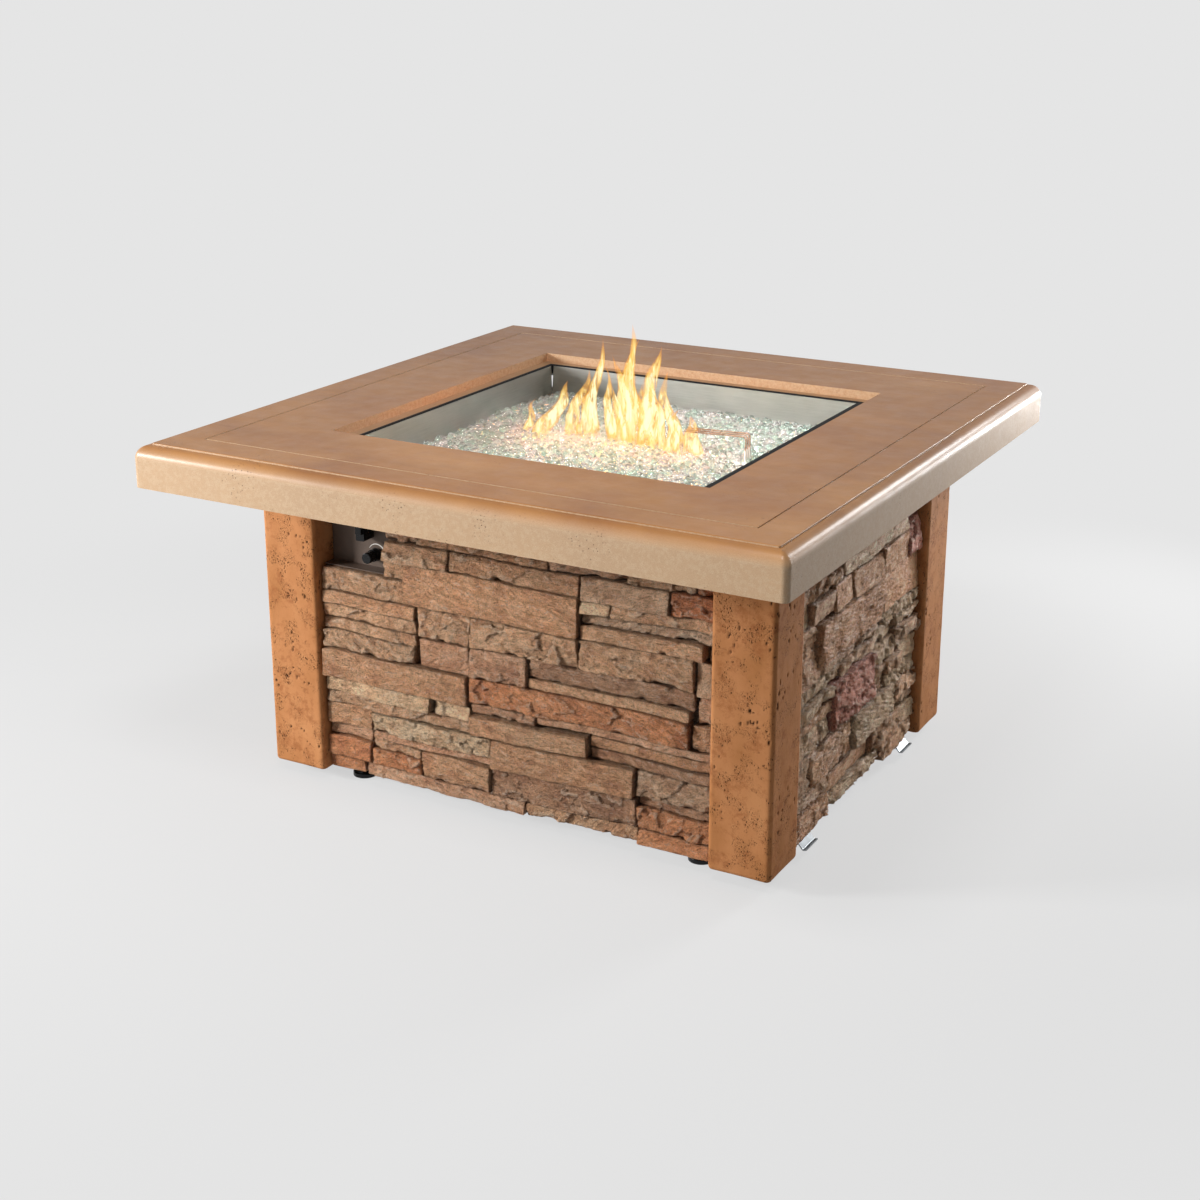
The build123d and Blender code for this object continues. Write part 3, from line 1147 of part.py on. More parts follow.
with BuildPart() as lead_clips:
    clip_foot = thermo_z - CLIP_LIP
    clip_y = (THERMO_LEAD_Y + SPARK_LEAD_Y) / 2
    clip_width = THERMO_LEAD_Y - SPARK_LEAD_Y + 2 * CLIP_LIP
    for x in CLIP_X:
        with Locations((x, clip_y, (pan_under + clip_foot) / 2)):
            Box(CLIP_THICKNESS, clip_width, pan_under - clip_foot)
        with BuildSketch(Plane.YZ.offset(x - CLIP_THICKNESS)):
            with Locations((THERMO_LEAD_Y, thermo_z)):
                Circle(THERMO_LEAD_RADIUS + FIT)
            with Locations((SPARK_LEAD_Y, spark_z)):
                Circle(SPARK_LEAD_RADIUS + FIT)
        extrude(amount=2 * CLIP_THICKNESS, mode=Mode.SUBTRACT)
write(lead_clips, "lead_clips")

# ================================================================ levelling feet
nut_foot = BOTTOM_RAIL_LIFT - FOOT_NUT_HEIGHT
with BuildPart() as foot_nuts:
    with BuildSketch(Plane.XY.offset(nut_foot)):
        with GridLocations(2 * FOOT_X, 2 * rail_y, 2, 2):
            RegularPolygon(FOOT_NUT_SIZE / 2, 6, major_radius=False)
            Circle(STUD_RADIUS + RUNNING, mode=Mode.SUBTRACT)
    extrude(amount=FOOT_NUT_HEIGHT)
write(foot_nuts, "foot_nuts")

for (sx, sy), corner in post_names.items():
    with BuildPart() as foot:
        with Locations((sx * FOOT_X, sy * rail_y, 0)):
            Cylinder(FOOT_RADIUS, FOOT_PAD_HEIGHT, align=(Align.CENTER, Align.CENTER, Align.MIN))
        fillet(foot.faces().sort_by(Axis.Z)[-1].edges(), radius=FOOT_ROUNDING)
        with Locations((sx * FOOT_X, sy * rail_y, FOOT_PAD_HEIGHT)):
            Cylinder(STUD_RADIUS, STUD_LENGTH, align=(Align.CENTER, Align.CENTER, Align.MIN))
    write(foot, f"foot_{corner}")
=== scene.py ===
# %% [markdown]
# # A stacked-stone gas fire pit table
# The table is a cast concrete top on a base of four stone-look posts and four panels of split stone.
# A steel pan full of fire glass drops into the top, and the gas controls sit in a recess of the front.
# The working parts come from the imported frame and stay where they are. This lesson gives every one of
# them a finish, and models again what the frame holds only as plain solids: the split stones, the
# pitted posts, the loose glass beads and the pan's seal. It also winds the knob's spring again.

# %% Load the frame
import itertools
import json
import math

import bmesh
import bpy
import numpy as np
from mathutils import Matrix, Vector


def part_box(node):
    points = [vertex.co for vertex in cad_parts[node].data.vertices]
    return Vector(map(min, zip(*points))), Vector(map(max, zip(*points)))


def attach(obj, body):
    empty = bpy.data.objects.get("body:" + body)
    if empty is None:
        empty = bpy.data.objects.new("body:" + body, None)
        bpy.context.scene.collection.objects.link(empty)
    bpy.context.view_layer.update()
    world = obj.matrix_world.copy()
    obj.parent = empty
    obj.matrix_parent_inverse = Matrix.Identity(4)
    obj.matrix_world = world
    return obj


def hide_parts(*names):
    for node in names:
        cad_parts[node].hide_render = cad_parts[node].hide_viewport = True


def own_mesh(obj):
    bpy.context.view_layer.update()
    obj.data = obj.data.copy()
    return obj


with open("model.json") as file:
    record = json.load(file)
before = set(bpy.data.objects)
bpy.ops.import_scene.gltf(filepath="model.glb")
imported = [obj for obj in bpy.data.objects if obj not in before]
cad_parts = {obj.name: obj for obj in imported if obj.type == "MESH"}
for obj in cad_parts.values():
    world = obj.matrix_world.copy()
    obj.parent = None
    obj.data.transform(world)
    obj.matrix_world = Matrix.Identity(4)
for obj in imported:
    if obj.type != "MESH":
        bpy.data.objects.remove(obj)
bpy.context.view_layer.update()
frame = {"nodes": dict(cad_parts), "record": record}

nodes = frame["nodes"]
record = frame["record"]
top_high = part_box("table_top")[1]


def put(name, data):
    """A new object in the scene that shows a mesh, a lamp or a camera."""
    made = bpy.data.objects.new(name, data)
    bpy.context.scene.collection.objects.link(made)
    return made


print(len(nodes), "nodes, table top at", round(top_high.z, 4), "m")

# %% [markdown]
# ## Camera
# A table looks right from a standing person's eye, a little above the top and off one corner.
# A long lens keeps the posts from splaying. The frame is moved down with the lens shift instead of by
# tilting further, as an architect's camera does, so that upright edges stay nearly upright.

# %% Camera
CAMERA_PLACE = (1.4685, -2.6813, top_high.z + 0.756)
CAMERA_TURN = math.radians(29.24)
CAMERA_TILT = math.radians(17.45)
CAMERA_LENS = 56.4  # millimetres on a 36 mm wide sensor
CAMERA_SHIFT = -0.06

camera = put("camera", bpy.data.cameras.new("camera"))
camera.location = CAMERA_PLACE
camera.rotation_euler = (math.pi / 2 - CAMERA_TILT, 0, CAMERA_TURN)
camera.data.lens = CAMERA_LENS
camera.data.shift_y = CAMERA_SHIFT
bpy.context.scene.camera = camera
bpy.context.scene.view_settings.view_transform = "Standard"
print("camera", [round(value, 3) for value in camera.location], "lens", CAMERA_LENS)

# %% [markdown]
# ## A short way to write node materials
# Wiring shader nodes by hand takes many lines for each material. A small class that adds a node, sets
# its sockets and returns an output socket lets each finish below read like a recipe. Constants are set
# on the sockets themselves, and only patterns are linked.

# %% Node helper
def linear(text):
    """A colour written as six hexadecimal digits, as the linear values that a shader takes."""
    parts = [int(text[i:i + 2], 16) / 255 for i in (0, 2, 4)]
    return [part / 12.92 if part <= 0.04045 else ((part + 0.055) / 1.055) ** 2.4 for part in parts] + [1.0]


def add_node(tree, kind, sockets=None, **settings):
    """A new node whose sockets are linked to another node's output or set to a constant."""
    made = tree.nodes.new(kind)
    for key, value in settings.items():
        setattr(made, key, value)
    for key, value in (sockets or {}).items():
        if isinstance(value, bpy.types.NodeSocket):
            tree.links.new(value, made.inputs[key])
        else:
            made.inputs[key].default_value = value
    return made


class Finish:
    """A material or a world under construction. Most methods add a node and return its output."""

    def __init__(self, name, kind="materials"):
        self.material = getattr(bpy.data, kind).new(name)
        self.material.use_nodes = True
        self.tree = self.material.node_tree
        self.tree.nodes.clear()

    def node(self, kind, sockets=None, **settings):
        return add_node(self.tree, "ShaderNode" + kind, sockets, **settings)

    def place(self, stretch=(1, 1, 1), turn=(0, 0, 0)):
        """Object coordinates in metres, scaled along each axis and turned."""
        where = self.node("TexCoord").outputs["Object"]
        return self.node("Mapping", {"Vector": where, "Scale": stretch, "Rotation": turn}).outputs[0]

    def attribute(self, name, output="Color"):
        return self.node("Attribute", attribute_name=name).outputs[output]

    def noise(self, where, scale, detail=4.0, roughness=0.55, distortion=0.0):
        sockets = {"Vector": where, "Scale": scale, "Detail": detail, "Roughness": roughness,
                   "Distortion": distortion}
        return self.node("TexNoise", sockets).outputs[0]

    def cells(self, where, scale, output="Distance", **settings):
        return self.node("TexVoronoi", {"Vector": where, "Scale": scale}, **settings).outputs[output]

    def ramp(self, factor, *stops):
        """Colours at places from 0 to 1; a stop is (place, colour or grey value)."""
        made = self.node("ValToRGB", {"Fac": factor})
        marks = made.color_ramp.elements
        while len(marks) < len(stops):
            marks.new(1.0)
        for mark, (where, colour) in zip(marks, stops):
            mark.position = where
            mark.color = linear(colour) if isinstance(colour, str) else (colour, colour, colour, 1.0)
        return made.outputs[0]

    def mix(self, factor, first, second, how="MIX"):
        made = self.node("Mix", {0: factor, 6: first, 7: second}, data_type="RGBA", blend_type=how)
        return made.outputs[2]

    def math(self, how, *values):
        return self.node("Math", dict(enumerate(values)), operation=how).outputs[0]

    def bump(self, height, distance, strength=1.0, before=None):
        sockets = {"Height": height, "Distance": distance, "Strength": strength}
        if before is not None:
            sockets["Normal"] = before
        return self.node("Bump", sockets).outputs[0]

    def ends_in(self, shader):
        """Wires a shader to the output and returns the material."""
        self.node("OutputMaterial", {"Surface": shader.outputs[0]})
        return self.material

    def done(self, **sockets):
        """Ends in a Principled shader; underscores in the names stand for spaces."""
        named = {key.replace("_", " "): value for key, value in sockets.items()}
        return self.ends_in(self.node("BsdfPrincipled", named))


print("mid grey is", round(linear("808080")[0], 3), "to a shader")

# %% [markdown]
# ## Floor and backdrop
# A studio picture has a pale floor that runs into the backdrop without a line. Here the floor is a disc
# that takes the table's soft shadow near its middle and turns into plain backdrop grey further out. The
# grey is only for what looks at it: the camera, and rays that metal and glass send. Light that the
# floor bounces onto the table comes from an ordinary matt surface.

# %% Floor and backdrop
BACKDROP = linear("e5e5e5")
WORLD_LIGHT = 0.14
FLOOR_RADIUS = 12.0
FLOOR_SIDES = 96
FLOOR_MATT = 0.16  # part of the floor's look that takes shadow
FLOOR_GLOW = 0.60  # part that is plain grey
FLOOR_BOUNCE = 0.42
SHADOW_REACH = (0.85, 1.9)  # distances from the middle between which the floor turns into backdrop


def seen_directly(finish):
    """1 for camera, glossy and transmission rays, 0 for the rays that carry light."""
    path = finish.node("LightPath").outputs
    either = finish.math("MAXIMUM", path["Is Camera Ray"], path["Is Glossy Ray"])
    return finish.math("MAXIMUM", either, path["Is Transmission Ray"])


def make_floor_finish():
    finish = Finish("studio_floor")
    distance = finish.node("VectorMath", {0: finish.place()}, operation="LENGTH").outputs["Value"]
    near, far = SHADOW_REACH
    fade = finish.node("MapRange", {"Value": distance, "From Min": near, "From Max": far},
                       interpolation_type="SMOOTHSTEP").outputs[0]
    matt = finish.node("BsdfDiffuse", {"Color": (FLOOR_MATT,) * 3 + (1,)}).outputs[0]
    glow = finish.node("Emission", {"Color": (1, 1, 1, 1), "Strength": FLOOR_GLOW}).outputs[0]
    close = finish.node("AddShader", {0: matt, 1: glow}).outputs[0]
    backdrop = finish.node("Emission", {"Color": BACKDROP}).outputs[0]
    shown = finish.node("MixShader", {0: fade, 1: close, 2: backdrop}).outputs[0]
    bounce = finish.node("BsdfDiffuse", {"Color": (FLOOR_BOUNCE,) * 3 + (1,)}).outputs[0]
    return finish.ends_in(finish.node("MixShader", {0: seen_directly(finish), 1: bounce, 2: shown}))


bpy.ops.mesh.primitive_circle_add(vertices=FLOOR_SIDES, radius=FLOOR_RADIUS, fill_type="NGON")
floor = bpy.context.object
floor.name = "studio_floor"
floor.data.materials.append(make_floor_finish())

sky = Finish("studio", "worlds")
bpy.context.scene.world = sky.material
fill = sky.node("Background", {"Color": (1, 1, 1, 1), "Strength": WORLD_LIGHT}).outputs[0]
wall = sky.node("Background", {"Color": BACKDROP}).outputs[0]
blend = sky.node("MixShader", {0: seen_directly(sky), 1: fill, 2: wall}).outputs[0]
sky.node("OutputWorld", {"Surface": blend})
print("floor of", FLOOR_RADIUS, "m, backdrop", [round(part, 3) for part in BACKDROP[:3]])

# %% [markdown]
# ## Studio lamps
# Four softboxes light the table. The strong one in front on the left hangs low, so that it reaches the
# split stone right up to the apron, and it leaves the right side in shade. One overhead lies on the top.
# One behind on the right draws a bright line along the rounded edge of the concrete, and a small low one
# beside it grazes the stones there.

# %% Studio lamps
def softbox(name, place, aim, size, watts):
    """A square area lamp at a place, aimed at a point, with its side in metres."""
    light = bpy.data.lights.new(name, "AREA")
    light.size = size
    light.energy = watts
    lamp = put(name, light)
    lamp.location = place
    lamp.rotation_euler = (Vector(aim) - Vector(place)).to_track_quat("-Z", "Y").to_euler()
    lamp.visible_camera = False
    return lamp


lamps = [
    softbox("key_left", (-2.6, -2.2, 1.25), (-0.1, 0, 0.30), 0.7, 152),
    softbox("overhead", (0.3, -1.1, 2.1), (0.15, -0.2, 0.6), 0.5, 20),
    softbox("edge_back", (1.10, 1.45, 1.2), (0.5, -0.1, 0.5), 0.4, 14),
    softbox("side_low", (0.95, 2.0, 0.45), (0.46, 0, 0.25), 0.22, 26),
]
print(len(lamps), "lamps")

# %% [markdown]
# ## Cast concrete
# The top is cast in a mould, sealed and slightly polished. Its colour drifts between two tans in soft
# clouds, drawn out a little where the sealer was wiped on, and tiny air pinholes are left here and there.
# The apron, the grooves and the ledge of the opening are paler: the colour turns pale below the top's face
# and on upright faces, in patches.

# %% Concrete finish
PALE_DEPTHS = (0.004, 0.022)  # under the top's face, between which the edge turns pale


def make_concrete():
    finish = Finish("cast_concrete")
    where = finish.place()
    wiped = finish.place(stretch=(1.0, 5.0, 3.0), turn=(0, 0, 0.5))
    clouds = finish.noise(where, 3.2, 6, 0.6, 0.4)
    colour = finish.ramp(clouds, (0.30, "8f5c30"), (0.50, "a16d3a"), (0.72, "b27e49"))
    streaks = finish.ramp(finish.noise(wiped, 9, 5, 0.6), (0.30, 0.76), (0.70, 1.0))
    colour = finish.mix(0.55, colour, streaks, "MULTIPLY")
    grain = finish.noise(where, 900, 3, 0.7)
    colour = finish.mix(0.35, colour, finish.ramp(grain, (0.30, 0.72), (0.65, 1.0)), "MULTIPLY")
    rust = finish.ramp(finish.noise(where, 24, 6, 0.7), (0.52, 0.0), (0.74, 0.45))
    colour = finish.mix(rust, colour, linear("96694a"))
    # paler below the top's face and on upright faces, in patches
    height = finish.node("SeparateXYZ", {0: where}).outputs["Z"]
    start, end = (top_high.z - depth for depth in PALE_DEPTHS)
    drop = finish.node("MapRange", {"Value": height, "From Min": start, "From Max": end}).outputs[0]
    normal = finish.node("NewGeometry").outputs["True Normal"]
    facing_up = finish.node("SeparateXYZ", {0: normal}).outputs["Z"]
    upright = finish.ramp(finish.math("ABSOLUTE", facing_up), (0.10, 0.9), (0.45, 0.0))
    patchy = finish.ramp(finish.noise(where, 160, 5, 0.7), (0.36, 0.6), (0.56, 1.0))
    upright = finish.math("MULTIPLY", upright, patchy)
    grain_pale = finish.ramp(grain, (0.30, "ad9274"), (0.65, "c8ae90"))
    pale = finish.math("MAXIMUM", finish.math("MULTIPLY", drop, 0.75), upright)
    colour = finish.mix(pale, colour, grain_pale)
    patch = finish.ramp(finish.noise(where, 11, 3), (0.56, 0.0), (0.66, 1.0))
    dots = finish.ramp(finish.cells(where, 210), (0.09, 1.0), (0.19, 0.0))
    holes = finish.math("MULTIPLY", dots, patch)
    colour = finish.mix(holes, colour, linear("553a27"))
    relief = finish.bump(finish.noise(where, 60, 5, 0.6), 0.0008, 0.35)
    relief = finish.bump(grain, 0.0002, 0.5, relief)
    relief = finish.bump(finish.math("SUBTRACT", 1.0, holes), 0.0015, 1.0, relief)
    shine = finish.ramp(finish.noise(where, 30, 4), (0.3, 0.42), (0.7, 0.58))
    return finish.done(Base_Color=colour, Roughness=shine, Specular_IOR_Level=0.12, Normal=relief,
                       Coat_Weight=0.38, Coat_Roughness=0.27)


finishes = {"cast_concrete": make_concrete()}
print("made", *finishes)

# %% [markdown]
# ## Pitted posts
# The posts imitate travertine: orange-brown stone with darker rusty clouds, and small holes that gather
# in those clouds. The larger holes are modelled later, in the mesh, and mark themselves in an attribute
# named pit. The fine ones are only drawn here.

# %% Post finish
def make_post_stone():
    finish = Finish("post_stone")
    where = finish.place()
    drawn = finish.place(stretch=(1.0, 1.0, 0.45))
    base = finish.ramp(finish.noise(drawn, 14, 5, 0.6), (0.30, "aa7143"), (0.52, "bc8052"), (0.75, "c78d5d"))
    clouds = finish.ramp(finish.noise(where, 34, 11, 0.80), (0.50, 0.0), (0.60, 0.75), (0.72, 1.0))
    rust = finish.ramp(finish.noise(where, 190, 4, 0.7), (0.30, "7c4423"), (0.70, "9c5c34"))
    colour = finish.mix(finish.math("MULTIPLY", clouds, 0.66), base, rust)
    groups = finish.ramp(finish.noise(where, 30, 4, 0.6), (0.50, 0.0), (0.58, 1.0))
    small = finish.ramp(finish.cells(drawn, 330), (0.14, 1.0), (0.26, 0.0))
    tiny = finish.ramp(finish.cells(where, 640), (0.14, 1.0), (0.30, 0.0))
    speck = finish.math("MULTIPLY", finish.math("MAXIMUM", small, finish.math("MULTIPLY", tiny, 0.8)), groups)
    pits = finish.math("MAXIMUM", speck, finish.attribute("pit", "Fac"))
    colour = finish.mix(pits, colour, linear("2c1a10"))
    relief = finish.bump(finish.noise(where, 500, 5, 0.65), 0.0004, 0.5)
    relief = finish.bump(finish.math("SUBTRACT", 1.0, speck), 0.002, 1.0, relief)
    shine = finish.math("MAXIMUM", finish.ramp(finish.noise(where, 60, 4), (0.3, 0.60), (0.7, 0.76)), pits)
    return finish.done(Base_Color=colour, Roughness=shine, Specular_IOR_Level=0.10, Normal=relief)


finishes["post_stone"] = make_post_stone()
print("made", *finishes)

# %% [markdown]
# ## Split stone
# Each stone of the panels carries its own tint in the attribute tone, worked out with its shape, and
# its own grain direction in the attribute grain. The attribute hollow says how deep a point lies in the
# torn surface, so that painted shade darkens it there, and on the stones' rims and walls and the slab
# between them; the attribute ridge says how far a point stands out, so that a painted highlight lightens
# the crests. One material then serves every stone.

# %% Split stone finish
def make_panel_stone():
    finish = Finish("panel_stone")
    where = finish.place()
    tone = finish.attribute("tone")
    grain = finish.attribute("grain", "Vector")
    hollow_shade = finish.attribute("hollow_shade", "Fac")
    drawn = finish.node("Mapping", {"Vector": grain, "Scale": (0.45, 1.0, 1.0)}).outputs[0]
    fibres = finish.noise(drawn, 130, 7, 0.74, 0.6)
    grit = finish.noise(where, 380, 6, 0.76)
    blotch = finish.noise(grain, 34, 6, 0.62, 0.5)
    colour = finish.mix(0.85, tone, finish.ramp(fibres, (0.34, 0.50), (0.48, 0.92), (0.58, 1.0)), "MULTIPLY")
    stain = finish.ramp(blotch, (0.34, "c79a78"), (0.50, "efdfcd"), (0.60, "ffffff"))
    colour = finish.mix(0.60, colour, stain, "MULTIPLY")
    folds = finish.math("ABSOLUTE", finish.math("SUBTRACT", finish.noise(drawn, 85, 5, 0.75, 0.8), 0.5))
    creases = finish.ramp(folds, (0.0, 0.0), (0.02, 0.45), (0.16, 1.0))
    # painted shade along the creases
    colour = finish.mix(0.50, colour, finish.ramp(creases, (0.0, 0.40), (0.45, 1.0)), "MULTIPLY")
    # painted shade: darker in the hollows of the torn faces, at the rims, down the walls and on the slab
    colour = finish.mix(finish.math("MULTIPLY", hollow_shade, 0.66), colour, linear("2c1b0b"))
    # painted highlight: the stones' crests and the tops of their fibres turn pale
    crest = finish.math("MULTIPLY", finish.attribute("ridge", "Fac"), fibres)
    crest_highlight = finish.math("MAXIMUM", finish.ramp(crest, (0.20, 0.0), (0.50, 0.7)),
                       finish.ramp(fibres, (0.57, 0.0), (0.66, 0.8)))
    colour = finish.mix(finish.math("MULTIPLY", crest_highlight, 0.62), colour, linear("ecd8bd"))
    colour = finish.mix(0.55, colour, finish.ramp(grit, (0.40, 0.40), (0.50, 1.0)), "MULTIPLY")
    relief = finish.bump(creases, 0.0070, 1.0)
    relief = finish.bump(fibres, 0.0080, 1.0, relief)
    relief = finish.bump(grit, 0.0024, 1.0, relief)
    shine = finish.ramp(fibres, (0.44, 0.80), (0.60, 0.36))
    return finish.done(Base_Color=colour, Roughness=shine, Specular_IOR_Level=0.7, Normal=relief)


finishes["panel_stone"] = make_panel_stone()
print("made", *finishes)

# %% [markdown]
# ## Metals
# Bare metals differ mostly in how their surface was left: rolled and brushed, dipped in zinc, turned on
# a lathe or tinted by heat. A noise stretched along one axis stands for brushing, and cells stand for
# the crystals of galvanised sheet.

# %% Metal finishes
def make_metal(name, dark, light, roughness, stretch, scale, depth):
    """A bare metal whose colour, gloss and fine relief follow one stretched noise."""
    finish = Finish(name)
    where = finish.place(stretch=stretch)
    lines = finish.noise(where, scale, 5, 0.65)
    clouds = finish.noise(finish.place(), 25, 4)
    colour = finish.mix(clouds, finish.ramp(lines, (0.3, dark), (0.7, light)), linear(light))
    low, high = roughness
    shine = finish.ramp(lines, (0.3, low), (0.7, high))
    relief = finish.bump(lines, depth, 0.6)
    return finish.done(Base_Color=colour, Metallic=1.0, Roughness=shine, Normal=relief)


def make_galvanised():
    finish = Finish("galvanised")
    where = finish.place()
    spangle = finish.cells(where, 130, output="Color")
    tint = finish.ramp(spangle, (0.2, "8f9396"), (0.8, "b9bcbe"))
    shine = finish.ramp(spangle, (0.2, 0.34), (0.8, 0.50))
    dust = finish.bump(finish.noise(where, 400, 4), 0.0001, 0.5)
    return finish.done(Base_Color=tint, Metallic=1.0, Roughness=shine, Normal=dust)


METALS = {  # dark and light colour, range of roughness, stretch and scale of the lines, their depth
    "stainless": ("9a9893", "bdbbb6", (0.30, 0.44), (5, 5, 220), 4, 0.00006),
    "heat_tinted_steel": ("8a6350", "c9a188", (0.22, 0.36), (1, 1, 1), 90, 0.00006),
    "zinc_steel": ("6c7072", "93979a", (0.34, 0.48), (1, 1, 1), 90, 0.00002),
    "brass": ("a47b3c", "d0a963", (0.22, 0.34), (1, 1, 30), 40, 0.00006),
    "lead_copper": ("8d4a2b", "c07a4e", (0.28, 0.40), (1, 1, 1), 120, 0.00006),
}
for name, recipe in METALS.items():
    finishes[name] = make_metal(name, *recipe)
finishes["galvanised"] = make_galvanised()
print("made", *finishes)

# %% [markdown]
# ## Coatings, plastics and soft parts
# Powder coat has the skin of an orange, moulded plastic has a fine grain, rubber is dull and a little
# dusty. They share one recipe: two colours mixed by a noise, and a bump at the scale of their skin. The
# gasket is a woven band, which two crossed waves draw.

# %% Coating finishes
GASKET_THREADS = 350


def make_coating(name, dark, light, roughness, skin, depth, metallic=0.0, gloss=0.5):
    """A painted, moulded or soft surface whose relief has the scale of its skin."""
    finish = Finish(name)
    where = finish.place()
    texture = finish.noise(where, skin, 4, 0.6)
    clouds = finish.noise(where, 35, 5, 0.6)
    colour = finish.mix(0.35, finish.ramp(clouds, (0.3, dark), (0.7, light)),
                        finish.ramp(texture, (0.3, dark), (0.7, light)))
    low, high = roughness
    shine = finish.ramp(clouds, (0.3, low), (0.7, high))
    return finish.done(Base_Color=colour, Metallic=metallic, Roughness=shine, Specular_IOR_Level=gloss,
                       Normal=finish.bump(texture, depth, 0.6))


def make_gasket():
    finish = Finish("fibre_gasket")
    along = finish.place(turn=(0, 0, math.radians(45)))
    bands = [finish.node("TexWave", {"Vector": along, "Scale": GASKET_THREADS, "Distortion": 1.0},
                         bands_direction=direction).outputs[1] for direction in "XY"]
    weave = finish.math("MULTIPLY", *bands)
    return finish.done(Base_Color=finish.ramp(weave, (0.1, "0d0d0e"), (0.9, "26272a")), Roughness=0.78,
                       Specular_IOR_Level=0.2, Normal=finish.bump(weave, 0.0005, 0.7))


COATINGS = {  # dark and light colour, range of roughness, scale and depth of the skin, metal, gloss
    "black_steel": ("141414", "202020", (0.42, 0.55), 700, 0.00015),
    "bronze_plate": ("54463d", "665549", (0.45, 0.60), 900, 0.0001, 0.35),
    "black_rubber": ("121212", "222221", (0.70, 0.85), 1200, 0.0001),
    "black_plastic": ("0b0b0c", "161617", (0.20, 0.30), 1500, 0.00006, 0.0, 0.25),
    "white_ceramic": ("d8d5cc", "f0eee8", (0.35, 0.50), 900, 0.00008),
    "lead_silicone": ("9a3a22", "b44a2c", (0.50, 0.62), 600, 0.00008),
}
for name, recipe in COATINGS.items():
    finishes[name] = make_coating(name, *recipe)
finishes["fibre_gasket"] = make_gasket()
print("made", *finishes)

# %% [markdown]
# ## Fire glass
# The pan holds tumbled beads of clear glass, some of them with a breath of aqua. Each bead has its own
# number in the attribute bead, which picks its tint, so that neighbours differ and single beads show.

# %% Glass finish
def make_fire_glass():
    finish = Finish("fire_glass")
    drift = finish.noise(finish.place(), 9, 3, 0.5)
    pick = finish.math("ADD", finish.attribute("bead", "Fac"), finish.math("MULTIPLY", drift, 0.5))
    tint = finish.ramp(pick, (0.50, "ffffff"), (0.74, "fbfefc"), (0.86, "f1f9f5"), (0.98, "e0f0e9"))
    ripple = finish.bump(finish.noise(finish.place(), 300, 3), 0.0004, 0.25)
    return finish.done(Base_Color=tint, Roughness=0.02, IOR=1.48, Transmission_Weight=0.92, Normal=ripple)


def make_glass_bed():
    finish = Finish("glass_bed")
    where = finish.place()
    lumps = finish.cells(where, 85)
    # painted highlight on the lumps' tops and painted shade in the gaps between them
    tint = finish.ramp(lumps, (0.08, "b0aa9c"), (0.32, "77766c"), (0.60, "30332d"))
    return finish.done(Base_Color=tint, Roughness=0.12, Normal=finish.bump(lumps, 0.004, 0.9))


finishes["fire_glass"] = make_fire_glass()
finishes["glass_bed"] = make_glass_bed()
print("made", *finishes)

# %% [markdown]
# ## Every node takes the finish of its slot
# The record says which material slot each node has. The nodes that are modelled again below are hidden
# later, but they get their finish too.

# %% Finish the nodes
slots = {part["node"]: part["material_slot"] for part in record["subparts"]}
for name, slot in slots.items():
    nodes[name].data.materials.clear()
    nodes[name].data.materials.append(finishes[slot])
print("finished", len(slots), "nodes")

# %% [markdown]
# ## Noise for meshes
# Torn stone needs real relief, not only a bump in the material. The first function below is a value
# noise written for arrays, so that a hundred thousand points take a moment. Adding it up at doubling
# scales gives a fractal, and folding it gives the sharp ridges of broken stone.

# %% Mesh noise
STEP_PRIMES = (73856093, 19349663, 83492791)  # one for each axis, to tell cells apart
SHUFFLES = (1274126177, 668265263)  # factors that scatter a cell's number
LOW_BITS = 0xFFFFFFFF
OCTAVE_SHIFT = 17.3  # keeps the octaves' cells from lying on each other


def smooth_noise(points, seed):
    """Noise from -1 to 1 with one cell per unit, for an array of points with three columns."""
    cell = np.floor(points).astype(np.int64)
    part = points - cell
    ease = part * part * part * (part * (part * 6 - 15) + 10)
    total = np.zeros(len(points))
    for corner in itertools.product((0, 1), repeat=3):
        key = (cell + np.array(corner)) * np.array(STEP_PRIMES)
        mixed = (key[:, 0] ^ key[:, 1] ^ key[:, 2]) + seed * 1013
        mixed = ((mixed ^ (mixed >> 13)) * SHUFFLES[0]) & LOW_BITS
        mixed = ((mixed ^ (mixed >> 16)) * SHUFFLES[1]) & LOW_BITS
        value = mixed / 0x7FFFFFFF - 1
        total += value * np.prod(np.where(corner, ease, 1 - ease), axis=1)
    return total


def fractal(points, seed, octaves=4, fall=0.5, folded=False):
    """Octaves of noise, each finer and weaker; folded noise has sharp crests and stays within -1 to 1."""
    total = np.zeros(len(points))
    weight = 1.0
    whole = 0.0
    for octave in range(octaves):
        layer = smooth_noise(points * 2 ** octave + OCTAVE_SHIFT * octave, seed + octave)
        if folded:
            layer = 1 - 2 * np.abs(layer)
        total += weight * layer
        whole += weight
        weight *= fall
    return total / whole


def flakes(points, seed):
    """A random level for each cell of a jittered lattice, as flakes that broke off leave it."""
    cell = np.floor(points).astype(np.int64)
    best = np.full(len(points), 9.0)
    level = np.zeros(len(points))
    for step in itertools.product((-1, 0, 1), repeat=2):
        near = cell[:, :2] + np.array(step)
        key = near[:, 0] * STEP_PRIMES[0] ^ near[:, 1] * STEP_PRIMES[1] ^ seed * 7919
        rolls = []
        for turn in (1, 2, 3):
            mixed = ((key * turn ^ (key >> 11)) * SHUFFLES[0]) & LOW_BITS
            rolls.append(((mixed ^ (mixed >> 15)) & 0xFFFF) / 0xFFFF)
        centre = near + np.stack(rolls[:2], axis=1)
        distance = ((points[:, :2] - centre) ** 2).sum(axis=1)
        closer = distance < best
        best = np.where(closer, distance, best)
        level = np.where(closer, rolls[2] * 2 - 1, level)
    return level


